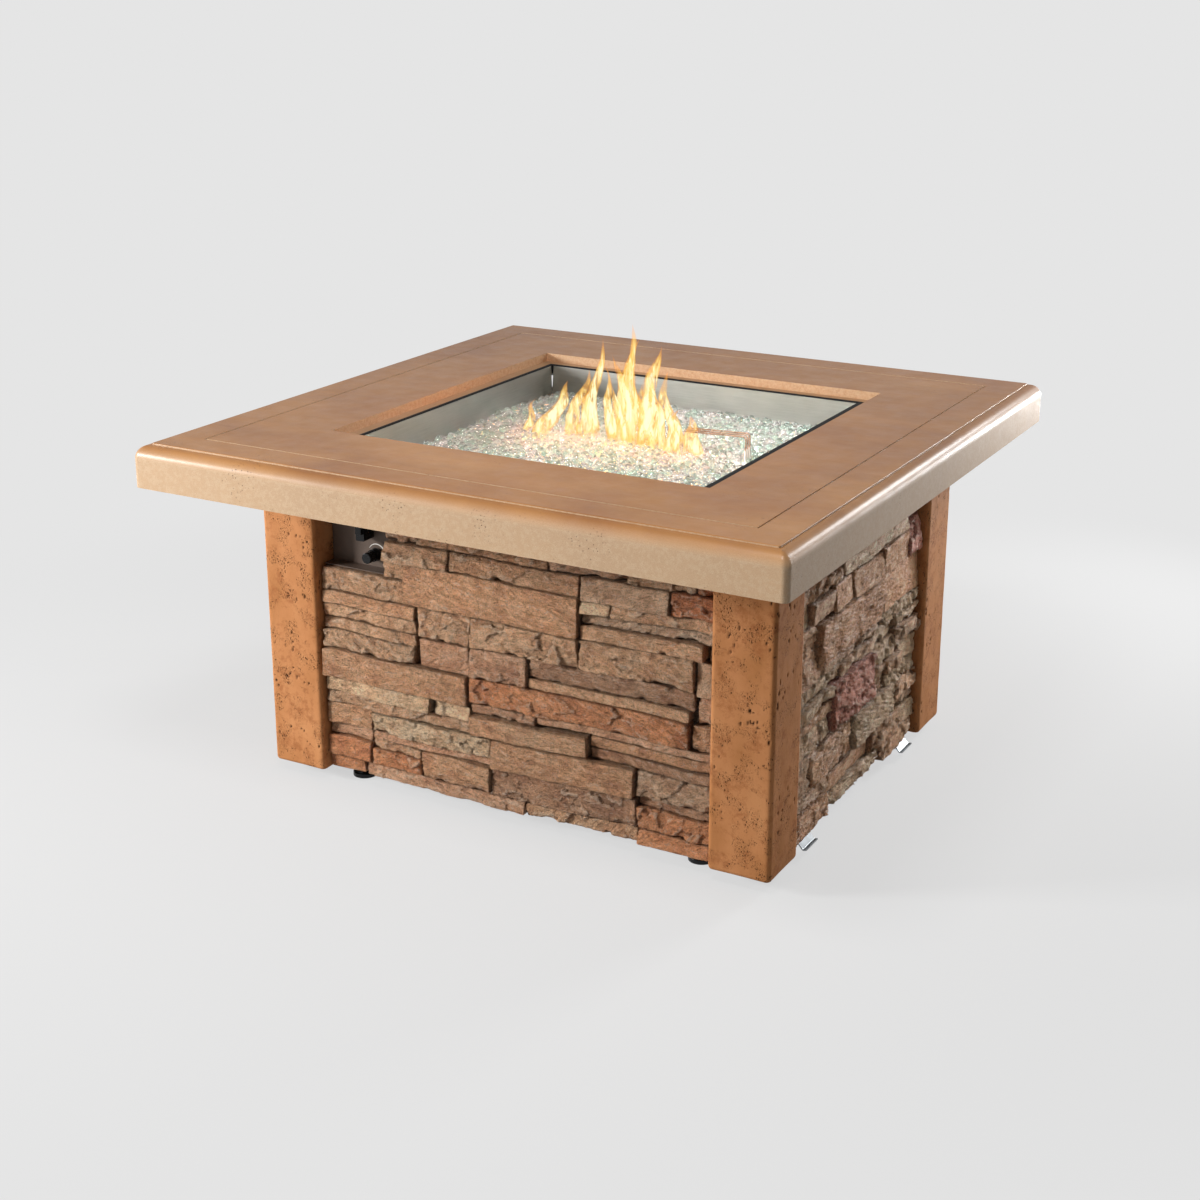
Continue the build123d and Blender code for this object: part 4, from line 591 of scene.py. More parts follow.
check = fractal(np.random.default_rng(1).random((2000, 3)) * 20, 3)
print("noise spreads from", round(check.min(), 2), "to", round(check.max(), 2))

# %% [markdown]
# ## Pieces from arrays
# Points and faces are worked out as arrays. Most faces follow one of three patterns: a grid of quads, a
# strip between two closed rings, or a tube through a row of rings. What a material has to know about
# single points goes along as an attribute of the mesh.

# %% Mesh helpers
def flat_points(x, y):
    """Points in three columns with zeros in the third."""
    return np.stack([x, y, np.zeros_like(x)], axis=1)


def grid_faces(shape):
    """Quads between the points of a grid with the given rows and columns."""
    index = np.arange(math.prod(shape)).reshape(shape)
    corners = [index[:-1, :-1], index[1:, :-1], index[1:, 1:], index[:-1, 1:]]
    return np.stack(corners, axis=-1).reshape(-1, 4)


def ring_of(shape):
    """Indices of a grid's rim, counter-clockwise seen from outside."""
    grid = np.arange(math.prod(shape)).reshape(shape)
    return np.concatenate([grid[:-1, 0], grid[-1, :-1], grid[:0:-1, -1], grid[0, :0:-1]])


def strip_faces(upper, lower):
    """Quads between two closed rings of indices."""
    return np.stack([upper, lower, np.roll(lower, -1), np.roll(upper, -1)], axis=1)


def tube_faces(rings, around, closed=False):
    """Quads of a tube through rings with the same number of points; a closed one meets its start."""
    index = np.arange(rings * around).reshape(rings, around)
    if closed:
        index = np.vstack([index, index[:1]])
    beside = np.roll(index, -1, axis=1)
    return np.stack([index[:-1], beside[:-1], beside[1:], index[1:]], axis=-1).reshape(-1, 4)


def mark_points(mesh, name, values):
    """Stores a number, a vector or a colour for each point of a mesh."""
    kinds = {1: ("FLOAT", "value"), 3: ("FLOAT_VECTOR", "vector"), 4: ("FLOAT_COLOR", "color")}
    kind, field = kinds[values.size // len(values)]
    layer = mesh.attributes.new(name, kind, "POINT")
    layer.data.foreach_set(field, values.astype(np.float32).ravel())


def make_mesh(name, points, faces, finish, body, smooth=True):
    """A piece from arrays of points and faces, in metres, riding on a body."""
    mesh = bpy.data.meshes.new(name)
    mesh.from_pydata(points.tolist(), [], faces if isinstance(faces, list) else faces.tolist())
    mesh.validate()
    mesh.materials.append(finishes[finish])
    mesh.polygons.foreach_set("use_smooth", [smooth] * len(mesh.polygons))
    piece = put(name, mesh)
    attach(piece, body)
    return piece


def body_of(node):
    """The body that a node of the frame moves with."""
    return next(body for body, members in record["behaviour"]["bodies"].items() if node in members)


print("a grid of 3 by 4 points has", len(grid_faces((3, 4))), "quads")

# %% [markdown]
# ## Read the stones' places from the frame
# A panel in the frame is a cast backer with plain blocks on it, one for each stone. The split faces
# have to sit on the same blocks, so their places are read from the panel's own outward faces. A copy of
# the node's mesh is merged first, because the node comes as loose triangles, and faces that share an
# edge then make one block.

# %% Panel frames
LEAST_RELIEF = 0.005  # a face this far out of the backer is a stone
FACING = 0.999  # the least cosine between a face that looks outwards and the panel's direction
MERGE_REACH = 1e-6


class PanelSide:
    """The directions of a panel: u runs across it, v up and w out of it, from its lower left corner."""

    def __init__(self, name, outward, step, seed, rugged, pale):
        self.name = name
        self.node = "stone_panel_" + name
        self.step = step
        self.seed = seed
        self.rugged = rugged
        self.pale = pale
        self.outward = np.array(outward, float)
        self.across = np.cross([0, 0, 1], self.outward)
        low, high = (np.array(corner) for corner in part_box(self.node))
        corners = np.array(list(itertools.product(*zip(low, high))))
        self.width = np.ptp(corners @ self.across)
        self.height = high[2] - low[2]
        self.origin = self.across * (corners @ self.across).min() + np.array([0, 0, low[2]])

    def flat(self, points):
        """Points in the panel's own u, v and w."""
        away = points - self.origin
        return np.stack([away @ self.across, away[:, 2], points @ self.outward], axis=1)

    def solid(self, flat):
        """Back from u, v and w to the table's own frame."""
        return (self.origin + flat[:, :1] * self.across + flat[:, 1:2] * np.array([0, 0, 1])
                + flat[:, 2:] * self.outward)


def merged(node):
    """A copy of a node's mesh whose loose triangles are joined."""
    shell = bmesh.new()
    shell.from_mesh(nodes[node].data)
    bmesh.ops.remove_doubles(shell, verts=shell.verts, dist=MERGE_REACH)
    return shell


def read_stones(side):
    """The blocks of a panel as rows of u and v limits and depth, and the depth of the backer's front."""
    shell = merged(side.node)
    outward = Vector(side.outward)
    facing = {face for face in shell.faces if face.normal.dot(outward) > FACING}
    backer = min(face.calc_center_median().dot(outward) for face in facing)
    blocks = []
    while facing:
        group = [facing.pop()]
        for face in group:
            beside = {other for edge in face.edges for other in edge.link_faces if other in facing}
            facing -= beside
            group += sorted(beside, key=lambda other: other.index)
        flat = side.flat(np.array([vert.co for face in group for vert in face.verts]))
        if flat[0, 2] > backer + LEAST_RELIEF:
            low, high = flat.min(axis=0), flat.max(axis=0)
            blocks.append((low[0], high[0], low[1], high[1], high[2]))
    shell.free()
    return sorted(blocks, key=lambda block: (round(block[2], 4), round(block[0], 4))), backer


PANELS = {  # outward direction, grid step in metres, seed, how rugged, how pale
    "front": ((0, -1, 0), 0.0025, 100, 1.0, 1.04),
    # the right panel's stones are made far paler: painted light for the bright grazing light on that side
    "right": ((1, 0, 0), 0.0024, 400, 1.7, 1.62),
    "back": ((0, 1, 0), 0.0032, 700, 1.0, 1.0),
    "left": ((-1, 0, 0), 0.0032, 900, 1.2, 1.0),
}
sides = {name: PanelSide(name, *values) for name, values in PANELS.items()}
for name, side in sides.items():
    side.blocks, side.backer = read_stones(side)
    print(name, "panel", round(side.width, 3), "m wide with", len(side.blocks), "stones")

# %% [markdown]
# ## Tints and breaks of the stones
# Ledger stone comes in a handful of earth colours, and it breaks in a few ways: nearly smooth, torn,
# in thin layers, or rough as gravel. The stones that catch the eye are picked by a point that they
# cover, in millimetres from the panel's lower left corner, and the rest take a random tint.

# %% Stone palette
TINTS = {
    "brown": "dda87c",
    "tan": "e6b58a",
    "cream": "f6d2a8",
    "orange": "e39a66",
    "rust": "d98a58",
    "pink": "e1ad86",
    "grey": "dcb490",
    "dark": "c39470",
    "umber": "ae8562",
    "rose": "f0a48c",
}
BREAKS = {  # waves, fibres, flakes, layers and edge wear, in millimetres
    "smooth": (1.6, 0.6, 0.3, 0.0, 0.5),
    "torn": (2.6, 1.5, 2.4, 0.5, 0.9),
    "layered": (1.6, 1.2, 1.0, 3.4, 0.9),
    "rough": (2.0, 3.0, 2.4, 0.8, 1.4),
}
FRONT_STONES = [  # point on the stone, tint, break
    ((100, 155), "cream", "smooth"), ((480, 196), "orange", "torn"), ((40, 40), "orange", "smooth"),
    ((140, 40), "orange", "torn"), ((650, 40), "orange", "torn"), ((650, 10), "orange", "smooth"),
    ((680, 400), "rust", "rough"), ((700, 430), "rust", "torn"), ((300, 433), "brown", "torn"),
    ((200, 78), "pink", "smooth"), ((560, 168), "pink", "smooth"), ((500, 228), "tan", "smooth"),
    ((30, 10), "orange", "smooth"), ((40, 70), "pink", "smooth"), ((100, 195), "brown", "smooth"),
    ((300, 350), "brown", "smooth"), ((450, 95), "brown", "smooth"), ((400, 140), "tan", "smooth"),
    ((90, 306), "brown", "smooth"), ((40, 100), "brown", "smooth"), ((280, 245), "pink", "smooth"),
    ((500, 253), "dark", "layered"), ((650, 70), "dark", "layered"), ((90, 283), "tan", "torn"),
    ((90, 260), "tan", "torn"), ((90, 235), "tan", "rough"), ((230, 295), "tan", "torn"),
    ((380, 295), "tan", "torn"), ((580, 295), "tan", "torn"), ((100, 130), "tan", "torn"),
    ((650, 100), "grey", "torn"), ((180, 400), "tan", "torn"), ((360, 403), "brown", "torn"),
    ((590, 330), "tan", "layered"), ((560, 400), "grey", "layered"), ((340, 245), "pink", "torn"),
    ((600, 354), "grey", "layered"), ((510, 372), "cream", "smooth"), ((620, 372), "tan", "torn"),
    ((80, 338), "tan", "torn"), ((200, 463), "orange", "torn"), ((500, 460), "dark", "torn"),
]
RIGHT_STONES = [
    ((230, 180), "rose", "rough"), ((220, 300), "brown", "layered"), ((440, 300), "brown", "smooth"),
    ((500, 370), "rose", "rough"), ((60, 20), "brown", "layered"), ((260, 15), "cream", "layered"),
    ((100, 470), "cream", "layered"), ((400, 480), "grey", "layered"), ((320, 400), "cream", "smooth"),
    ((150, 100), "tan", "layered"), ((330, 100), "cream", "layered"), ((40, 300), "tan", "layered"),
]
RANDOM_TINTS = ["brown", "tan", "grey", "dark", "brown", "tan", "pink", "orange", "cream"]
# paler tints for the right side: painted light that brightens it
SIDE_TINTS = ["cream", "grey", "tan", "cream", "grey", "tan", "tan"]
RANDOM_BREAKS = ["torn", "layered", "rough", "smooth", "torn"]
print(len(TINTS), "tints and", len(BREAKS), "breaks")

# %% [markdown]
# ## Break the stones
# Every stone becomes a grid that follows its block, with an extra line close to the rim that keeps the
# edges crisp. The whole panel is bent by one slow noise, so that courses wander together and joints
# stay narrow. Then the face is pushed in and out: broad waves, folded noise for torn fibres, flakes, and
# saw-toothed layers, worn down near the edges. Walls drop from the rim to the backer. All stones of a
# panel are joined in one mesh.

# %% Stone builder
STONE_DROP = 0.0015  # the walls end this far inside the backer
CORNER_ROUND = 0.0025
OUTLINE_WANDER = 0.0005
RIM_LINE = 0.0008  # distance of the extra grid line from the rim
JOINT_CLOSE = 0.0005  # how far each stone grows into the joints
BEND = 0.0050  # how far a course wanders
BEND_FADE = 0.030  # from the panel's border and the recess
BLUR_REACH = 3  # grid cells
RECESS = (0.122, 0.358)  # right side and floor of the control recess, on the front panel
STONE_INSET = 0.0012  # a face starts this far behind its block's
STONE_LEAN = 0.0016  # spread of the tilt from one side of a face to the other
STONE_LEAST = 0.002  # a face stays this far out of the backer
STONE_PROUD = 0.004  # and this far in front of its block at most
GRAIN_TURN = 0.25  # spread of the grain's direction, in radians
BEDS_PER_METRE = 150
WEAR_REACH = 0.0016  # from the rim
BITE_DEPTH = 0.016
BITE_REACH = 0.005  # from the rim
RIM_SHADE = 0.0007  # width of the shade along the rim
HOLLOW_FULL = 0.0030  # a point this far behind its surroundings takes the full painted shade
RIDGE_FULL = 0.0016  # and one this far in front of them all ridge
WALL_WANDER = 0.0009


def rounded(flat_x, flat_y, half_x, half_y, radius):
    """Pulls the corners of a rectangle's grid onto arcs."""
    inner_x = np.abs(flat_x) - (half_x - radius)
    inner_y = np.abs(flat_y) - (half_y - radius)
    corner = (inner_x > 0) & (inner_y > 0)
    reach = np.maximum(inner_x, inner_y)
    share = np.where(corner, reach / np.maximum(np.hypot(inner_x, inner_y), 1e-9), 1)
    new_x = np.where(corner, half_x - radius + inner_x * share, np.abs(flat_x))
    new_y = np.where(corner, half_y - radius + inner_y * share, np.abs(flat_y))
    return np.sign(flat_x) * new_x, np.sign(flat_y) * new_y


def blurred(grid, reach):
    """A moving average over a grid, both ways."""
    for axis in (0, 1):
        pad = [(0, 0), (0, 0)]
        pad[axis] = (reach, reach)
        wide = np.pad(grid, pad, mode="edge")
        grid = sum(np.take(wide, range(i, i + grid.shape[axis]), axis=axis) for i in range(2 * reach + 1))
        grid = grid / (2 * reach + 1)
    return grid


def grid_lines(half, step):
    """Places from -half to half about a step apart, with one more close to each end."""
    inner = half - RIM_LINE
    count = max(2, round(2 * inner / step) + 1)
    return np.concatenate([[-half], np.linspace(-inner, inner, count), [half]])


def bend_course(u, v, side):
    """Moves points of a panel with one slow noise that dies out at its border and at the recess."""
    border = np.minimum(np.minimum(u, side.width - u), np.minimum(v, side.height - v))
    if side is sides["front"]:
        border = np.minimum(border, np.hypot(np.maximum(u - RECESS[0], 0), np.maximum(RECESS[1] - v, 0)))
    fade = np.clip(border / BEND_FADE, 0, 1)
    fade = fade * fade * (3 - 2 * fade)
    spot = flat_points(u, v)
    return (u + BEND * fade * fractal(spot * (11, 9, 1), side.seed + 50, 3),
            v + BEND * fade * fractal(spot * (7, 5, 1) + 31, side.seed + 60, 3))


def torn_relief(grain, spot, edge, shift, rugged, kind, seed):
    """How far the points of a face stand in or out, from its grain and their distance to its edge."""
    waves, fibres, chips, layers, wear = (amount * rugged / 1000 for amount in BREAKS[kind])
    out = waves * fractal(grain * (14, 26, 1) + shift, seed + 1, 3)
    out = out + fibres * fractal(grain * (60, 120, 1) + shift, seed + 2, 4, 0.75, folded=True)
    bent = grain * (34, 62, 1) + shift + 0.5 * fractal(grain * 60 + shift, seed + 3, 2)[:, None]
    out = out + chips * flakes(bent, seed + 4)
    bed = grain[:, 1] * BEDS_PER_METRE + 1.6 * fractal(grain * (9, 25, 1) + shift, seed + 5, 3)
    saw = np.abs((bed % 1) - 0.3) - 0.35
    out = out + layers * saw * (0.6 + 0.4 * fractal(grain * 30 + shift, seed + 6, 2))
    ragged = 0.7 + 0.6 * fractal(spot * 70 + shift, seed + 7, 3)
    out = out - wear * ragged * np.exp(-edge / WEAR_REACH)
    bite = np.clip(fractal(spot * 38 + shift, seed + 8, 2) - 0.15, 0, 1)
    bite = bite * (0.3 if kind == "smooth" else 1.0)
    return out - BITE_DEPTH * rugged * bite * np.exp(-edge / BITE_REACH)


def stone_tone(tint, spot, shift, seed, dice):
    """A tint that drifts over the face in lightness and warmth."""
    drift = 1 + 0.16 * fractal(spot * 18 + shift, seed + 10, 3)[:, None]
    warm = 1 + 0.06 * fractal(spot * 11 + shift, seed + 11, 2)[:, None] * np.array([0.5, -0.3, -1.0])
    return np.array(linear(TINTS[tint])[:3]) * drift * warm * (1.20 + 0.18 * dice.random())


def break_stone(block, side, tint, kind, seed):
    """Points, faces, and the tone, hollow, ridge and grain of one stone, in the panel's u, v and w."""
    left, right, foot, head, depth = block
    dice = np.random.default_rng(seed)
    half_u = (right - left) / 2 + JOINT_CLOSE
    half_v = (head - foot) / 2 + JOINT_CLOSE / 2
    u, v = np.meshgrid(grid_lines(half_u, side.step), grid_lines(half_v, side.step), indexing="ij")
    shape = u.shape
    edge = np.minimum(half_u - np.abs(u), half_v - np.abs(v)).ravel()
    u, v = rounded(u.ravel(), v.ravel(), half_u, half_v, min(CORNER_ROUND, half_u * 0.7, half_v * 0.7))
    shift = dice.random(3) * 60
    spot = flat_points(u, v)
    u = u + OUTLINE_WANDER * fractal(spot * 45 + shift, seed, 2)
    v = v + OUTLINE_WANDER * fractal(spot * 45 + shift[::-1], seed + 9, 2)
    spot = flat_points(u, v)
    turn = dice.normal(0, GRAIN_TURN)
    grain = flat_points(u * math.cos(turn) + v * math.sin(turn), v * math.cos(turn) - u * math.sin(turn))
    lean_u, lean_v = dice.normal(0, STONE_LEAN), dice.normal(0, STONE_LEAN)
    out = depth - STONE_INSET * side.rugged + lean_u * u / half_u + lean_v * v / half_v
    out = out + torn_relief(grain, spot, edge, shift, side.rugged, kind, seed)
    out = np.clip(out, side.backer + STONE_LEAST, depth + STONE_PROUD)
    level = out.reshape(shape)
    relief = (level - blurred(level, BLUR_REACH)).ravel()
    # how much painted shade a point gets, from its depth in the face and its nearness to the rim
    hollow_shade = np.clip(-relief / HOLLOW_FULL, 0, 1) + 0.35 * np.exp(-edge / RIM_SHADE)
    tone = stone_tone(tint, spot, shift, seed, dice)
    u, v = bend_course(u + (left + right) / 2, v + (foot + head) / 2, side)
    face = np.stack([u, v, out], axis=1)
    rim = ring_of(shape)
    middle = face[rim].copy()
    middle[:, 2] = side.backer + (middle[:, 2] - side.backer) * 0.5
    wander = np.stack([smooth_noise(face[rim] * 160 + axis, seed + axis) for axis in (1, 2)], axis=1)
    middle[:, :2] += WALL_WANDER * wander
    base = face[rim].copy()
    base[:, 2] = side.backer - STONE_DROP
    points = np.concatenate([face, middle, base])
    waist = len(face) + np.arange(len(rim))
    faces = [grid_faces(shape), strip_faces(rim, waist), strip_faces(waist, waist + len(rim))]
    walls = np.concatenate([rim, rim])
    grain = np.concatenate([grain, grain[walls]]) + shift
    grain[:, 2] += (points[:, 2] - side.backer) * 1.5
    return points, np.concatenate(faces), {
        "tone": np.concatenate([tone, tone[walls]]),
        # the painted shade deepens down the walls between the stones
        "hollow_shade": np.concatenate([np.clip(hollow_shade, 0, 1), np.full(len(rim), 0.7), np.full(len(rim), 1.0)]),
        # ridge marks the crests that get a painted highlight
        "ridge": np.concatenate([np.clip(relief / RIDGE_FULL, 0, 1), np.zeros(len(walls))]),
        "grain": grain,
    }


def choose(side_name, block, dice):
    """Tint and break of a stone: the one that was picked for it, or a random one."""
    picked = {"front": FRONT_STONES, "right": RIGHT_STONES}.get(side_name, [])
    left, right, foot, head, _ = block
    for (u, v), tint, kind in picked:
        if left <= u / 1000 <= right and foot <= v / 1000 <= head:
            return tint, kind
    tints = SIDE_TINTS if side_name == "right" else RANDOM_TINTS
    return tints[dice.integers(len(tints))], RANDOM_BREAKS[dice.integers(len(RANDOM_BREAKS))]


print("ready to break stones")

# %% [markdown]
# ## Backers
# Behind the stones lies a cast slab with its screw holes and the pockets of the door hooks. It is the
# frame's own panel, copied, merged and cut off just under the stones' feet, so that every hole stays.

# %% Backer of a panel
CUT_DEPTH = 0.0004  # below the backer's front


def cut_backer(side):
    """Points and faces of the panel's slab alone."""
    shell = merged(side.node)
    outward = Vector(side.outward)
    cut = bmesh.ops.bisect_plane(shell, geom=shell.verts[:] + shell.edges[:] + shell.faces[:], dist=1e-7,
                                 plane_co=outward * (side.backer - CUT_DEPTH), plane_no=outward,
                                 clear_outer=True)
    edges = [item for item in cut["geom_cut"] if isinstance(item, bmesh.types.BMEdge)]
    bmesh.ops.triangle_fill(shell, edges=edges, use_beauty=True, use_dissolve=False)
    for face in shell.faces:
        on_cut = face.calc_center_median().dot(outward) > side.backer - 2 * CUT_DEPTH
        if on_cut and face.normal.dot(outward) < -FACING:
            face.normal_flip()
    shell.verts.index_update()
    points = np.array([vert.co for vert in shell.verts])
    faces = [[vert.index for vert in face.verts] for face in shell.faces]
    shell.free()
    return points, faces


for name, side in sides.items():
    side.slab_points, side.slab_faces = cut_backer(side)
    print(name, "slab has", len(side.slab_faces), "faces")

# %% [markdown]
# ## Lay the panels
# The stones of a panel and its slab become one piece that stands for the panel's node. The door's panel
# rides on the door, so that it swings with its hooks and pull tabs.

# %% Stone panels
TONE_LIMIT = 1.40  # the strongest channel stays under this, with the hue kept
MORTAR_SHADE = 0.55
# painted shade on the slab that shows between the stones
MORTAR_HOLLOW = 0.6


def lay_panel(side):
    """Joins a panel's stones and its slab in one piece that stands for the panel's node."""
    dice = np.random.default_rng(side.seed)
    points, faces, attributes, start = [], [], [], 0
    for number, block in enumerate(side.blocks):
        tint, kind = choose(side.name, block, dice)
        stone, quads, marks = break_stone(block, side, tint, kind, side.seed + 20 * number)
        # the panel's paleness, far higher on the right: painted light
        tone = marks["tone"] * side.pale
        marks["tone"] = tone / np.maximum(tone.max(axis=1, keepdims=True) / TONE_LIMIT, 1.0)
        points.append(side.solid(stone))
        faces += (quads + start).tolist()
        attributes.append(marks)
        start += len(stone)
    slab = side.slab_points
    points.append(slab)
    faces += [[vert + start for vert in face] for face in side.slab_faces]
    attributes.append({
        "tone": np.tile(linear(TINTS["umber"])[:3], (len(slab), 1)) * MORTAR_SHADE,
        "hollow_shade": np.full(len(slab), MORTAR_HOLLOW),
        "ridge": np.zeros(len(slab)),
        "grain": slab,
    })
    piece = make_mesh("stones_" + side.name, np.concatenate(points), faces, "panel_stone",
                      body_of(side.node))
    fields = {key: np.concatenate([marks[key] for marks in attributes]) for key in attributes[0]}
    fields["tone"] = np.column_stack([fields["tone"], np.ones(len(fields["tone"]))])
    for key, values in fields.items():
        mark_points(piece.data, key, values)
    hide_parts(side.node)
    print(piece.name, "has", len(side.blocks), "stones and", sum(len(f) - 2 for f in faces), "triangles")


for side in sides.values():
    lay_panel(side)

# %% [markdown]
# ## Cast posts
# A post is a square tube. Its skin is a sheet of quads that runs round the rounded square, turns in
# under the foot, climbs the inside and closes over the head. The larger pits are dents pressed into
# the outer skin, gathered in groups, and each marks itself in the attribute pit.

# %% Post builder
POST_STEP = 0.0019
POST_WALL = 0.012
POST_EDGE = 0.007
POST_SHY = 0.0003  # the skin lies this far inside the node's
POST_UNEVEN = 0.00035
POST_SEED = 30
CORNER_STEPS = 4  # points of a rounded corner
PIT_GROUPS = 30
PITS_IN_GROUP = 7
PIT_SCATTER = 0.013  # spread of a group
PIT_WIDTHS = (0.0008, 0.0017)
PIT_HEIGHTS = (0.0009, 0.0036)
PIT_DEPTHS = (0.0015, 0.0035)
PIT_DARK = 0.0010  # depth over which a dent turns dark


def square_path(half, radius, step):
    """Points round a rounded square, and each one's distance along the path."""
    straight = half - radius
    count = max(1, round(2 * straight / step))
    points = []
    for side in range(4):
        cos, sin = math.cos(side * math.pi / 2), math.sin(side * math.pi / 2)
        front = [(2 * straight * i / count - straight, -half) for i in range(count)]
        for i in range(CORNER_STEPS):
            bend = math.pi / 2 * i / CORNER_STEPS - math.pi / 2
            front.append((straight + radius * math.cos(bend), radius * math.sin(bend) - straight))
        points += [(x * cos - y * sin, x * sin + y * cos) for x, y in front]
    path = np.array(points)
    length = np.concatenate([[0], np.cumsum(np.linalg.norm(np.diff(path, axis=0), axis=1))])
    return path, length


def build_post(node, seed):
    """A pitted post that stands for a node of the frame."""
    low, high = (np.array(corner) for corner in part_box(node))
    centre = (low + high) / 2
    half = (high[0] - low[0]) / 2
    path, length = square_path(half, POST_EDGE, POST_STEP)
    round_trip = length[-1] + POST_STEP
    heights = np.linspace(low[2], high[2], round((high[2] - low[2]) / POST_STEP))
    along, up = np.meshgrid(length, heights, indexing="xy")
    dice = np.random.default_rng(seed)
    dent = np.zeros_like(along)
    for _ in range(PIT_GROUPS):
        group = np.array([dice.random() * round_trip, low[2] + dice.random() * (high[2] - low[2])])
        for _ in range(dice.integers(2, PITS_IN_GROUP + 1)):
            pit_along, pit_up = group + dice.normal(0, PIT_SCATTER, 2)
            wide, tall = dice.uniform(*PIT_WIDTHS), dice.uniform(*PIT_HEIGHTS)
            away = (along - pit_along + round_trip / 2) % round_trip - round_trip / 2
            reach = (away / wide) ** 2 + ((up - pit_up) / tall) ** 2
            dent = np.maximum(dent, dice.uniform(*PIT_DEPTHS) * np.exp(-reach ** 1.5))
    outward = path / np.linalg.norm(path, axis=1)[:, None]
    skin = np.concatenate([np.tile(path, (len(heights), 1)), up.reshape(-1, 1)], axis=1)
    uneven = POST_UNEVEN * fractal(skin * 25 + seed, seed, 3)
    above_foot = np.clip(POST_EDGE - (skin[:, 2] - low[2]), 0, POST_EDGE)
    tuck = POST_EDGE - np.sqrt(POST_EDGE ** 2 - above_foot ** 2)
    push = uneven - dent.ravel() - tuck - POST_SHY
    skin[:, :2] += push[:, None] * np.tile(outward, (len(heights), 1))
    inner = path * (half - POST_WALL) / half
    rings = [np.column_stack([inner, np.full(len(path), z)]) for z in (high[2], low[2])]
    points = np.concatenate([skin] + rings)
    points[:, :2] += centre[:2]
    faces = tube_faces(len(heights) + len(rings), len(path), closed=True)
    piece = make_mesh(node.replace("post", "cast_post"), points, faces, "post_stone", body_of(node))
    dark = np.clip(dent.ravel() / PIT_DARK - 0.3, 0, 1)
    mark_points(piece.data, "pit", np.concatenate([dark, np.zeros(len(rings) * len(path))]))
    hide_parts(node)
    print(piece.name, "has", 2 * len(piece.data.polygons), "triangles")


post_names = sorted(name for name in nodes if name.startswith("post_") and name != "post_cleats")
for number, name in enumerate(post_names):
    build_post(name, POST_SEED + number)

# %% [markdown]
# ## Scatter the fire glass with Geometry Nodes
# Thousands of beads lie in the pan. Geometry Nodes scatter points over the bed so that no two are
# closer than a bead's width, put a bead on each, turn and stretch it at random, and make the result
# real geometry with its material. The bead is a cube of twenty-four faces blown up to a ball, because
# a shape that repeats thousands of times has to stay light. Each quarter of the pan gets two layers.

# %% Bead scatter tree
BEAD_INPUTS = {"Spacing": "Float", "Bead Radius": "Float", "Lift": "Float", "Seed": "Int",
               "Finish": "Material"}
BEADS_AT_MOST = 20000.0  # on each square metre, before the spacing thins them out
BEAD_DROP = -0.35  # the lowest bead's place, as a part of the lift
BEAD_STRETCH = (0.80, 1.25)


def make_bead_tree():
    """Takes a mesh and gives the beads that lie on it."""
    tree = bpy.data.node_groups.new("bead_scatter", "GeometryNodeTree")
    for way in ("OUTPUT", "INPUT"):
        tree.interface.new_socket("Geometry", in_out=way, socket_type="NodeSocketGeometry")
    for label, kind in BEAD_INPUTS.items():
        tree.interface.new_socket(label, in_out="INPUT", socket_type="NodeSocket" + kind)
    given = add_node(tree, "NodeGroupInput").outputs

    def shape(kind, sockets, **settings):
        """Adds a geometry node and returns its first output."""
        return add_node(tree, "GeometryNode" + kind, sockets, **settings).outputs[0]

    def chance(low, high):
        """A random number for each bead."""
        limits = {2: low, 3: high, "Seed": given["Seed"]}
        return add_node(tree, "FunctionNodeRandomValue", limits, data_type="FLOAT").outputs[1]

    def chances(low, high):
        """Three random numbers for each bead."""
        limits = {0: (low,) * 3, 1: (high,) * 3, "Seed": given["Seed"]}
        return add_node(tree, "FunctionNodeRandomValue", limits, data_type="FLOAT_VECTOR").outputs[0]

    packed = shape("DistributePointsOnFaces",
                   {"Mesh": given["Geometry"], "Distance Min": given["Spacing"],
                    "Density Max": BEADS_AT_MOST, "Seed": given["Seed"]}, distribute_method="POISSON")
    height = add_node(tree, "ShaderNodeMath", {0: chance(BEAD_DROP, 1.0), 1: given["Lift"]},
                      operation="MULTIPLY").outputs[0]
    offset = add_node(tree, "ShaderNodeCombineXYZ", {"Z": height}).outputs[0]
    raised = shape("SetPosition", {"Geometry": packed, "Offset": offset})
    cube = shape("MeshCube", {"Size": (2, 2, 2), "Vertices X": 3, "Vertices Y": 3, "Vertices Z": 3})
    spot = shape("InputPosition", {})
    ball = add_node(tree, "ShaderNodeVectorMath", {0: spot}, operation="NORMALIZE").outputs[0]
    bead = shape("SetShadeSmooth", {"Geometry": shape("SetPosition", {"Geometry": cube, "Position": ball})})
    size = add_node(tree, "ShaderNodeVectorMath", {0: chances(*BEAD_STRETCH), "Scale": given["Bead Radius"]},
                    operation="SCALE").outputs[0]
    laid = shape("InstanceOnPoints",
                 {"Points": raised, "Instance": bead, "Rotation": chances(0, math.tau), "Scale": size})
    marked = shape("StoreNamedAttribute", {"Geometry": laid, "Name": "bead", "Value": chance(0.0, 1.0)},
                   domain="INSTANCE", data_type="FLOAT")
    real = shape("RealizeInstances", {"Geometry": marked})
    coated = shape("SetMaterial", {"Geometry": real, "Material": given["Finish"]})
    add_node(tree, "NodeGroupOutput", {"Geometry": coated})
    return tree


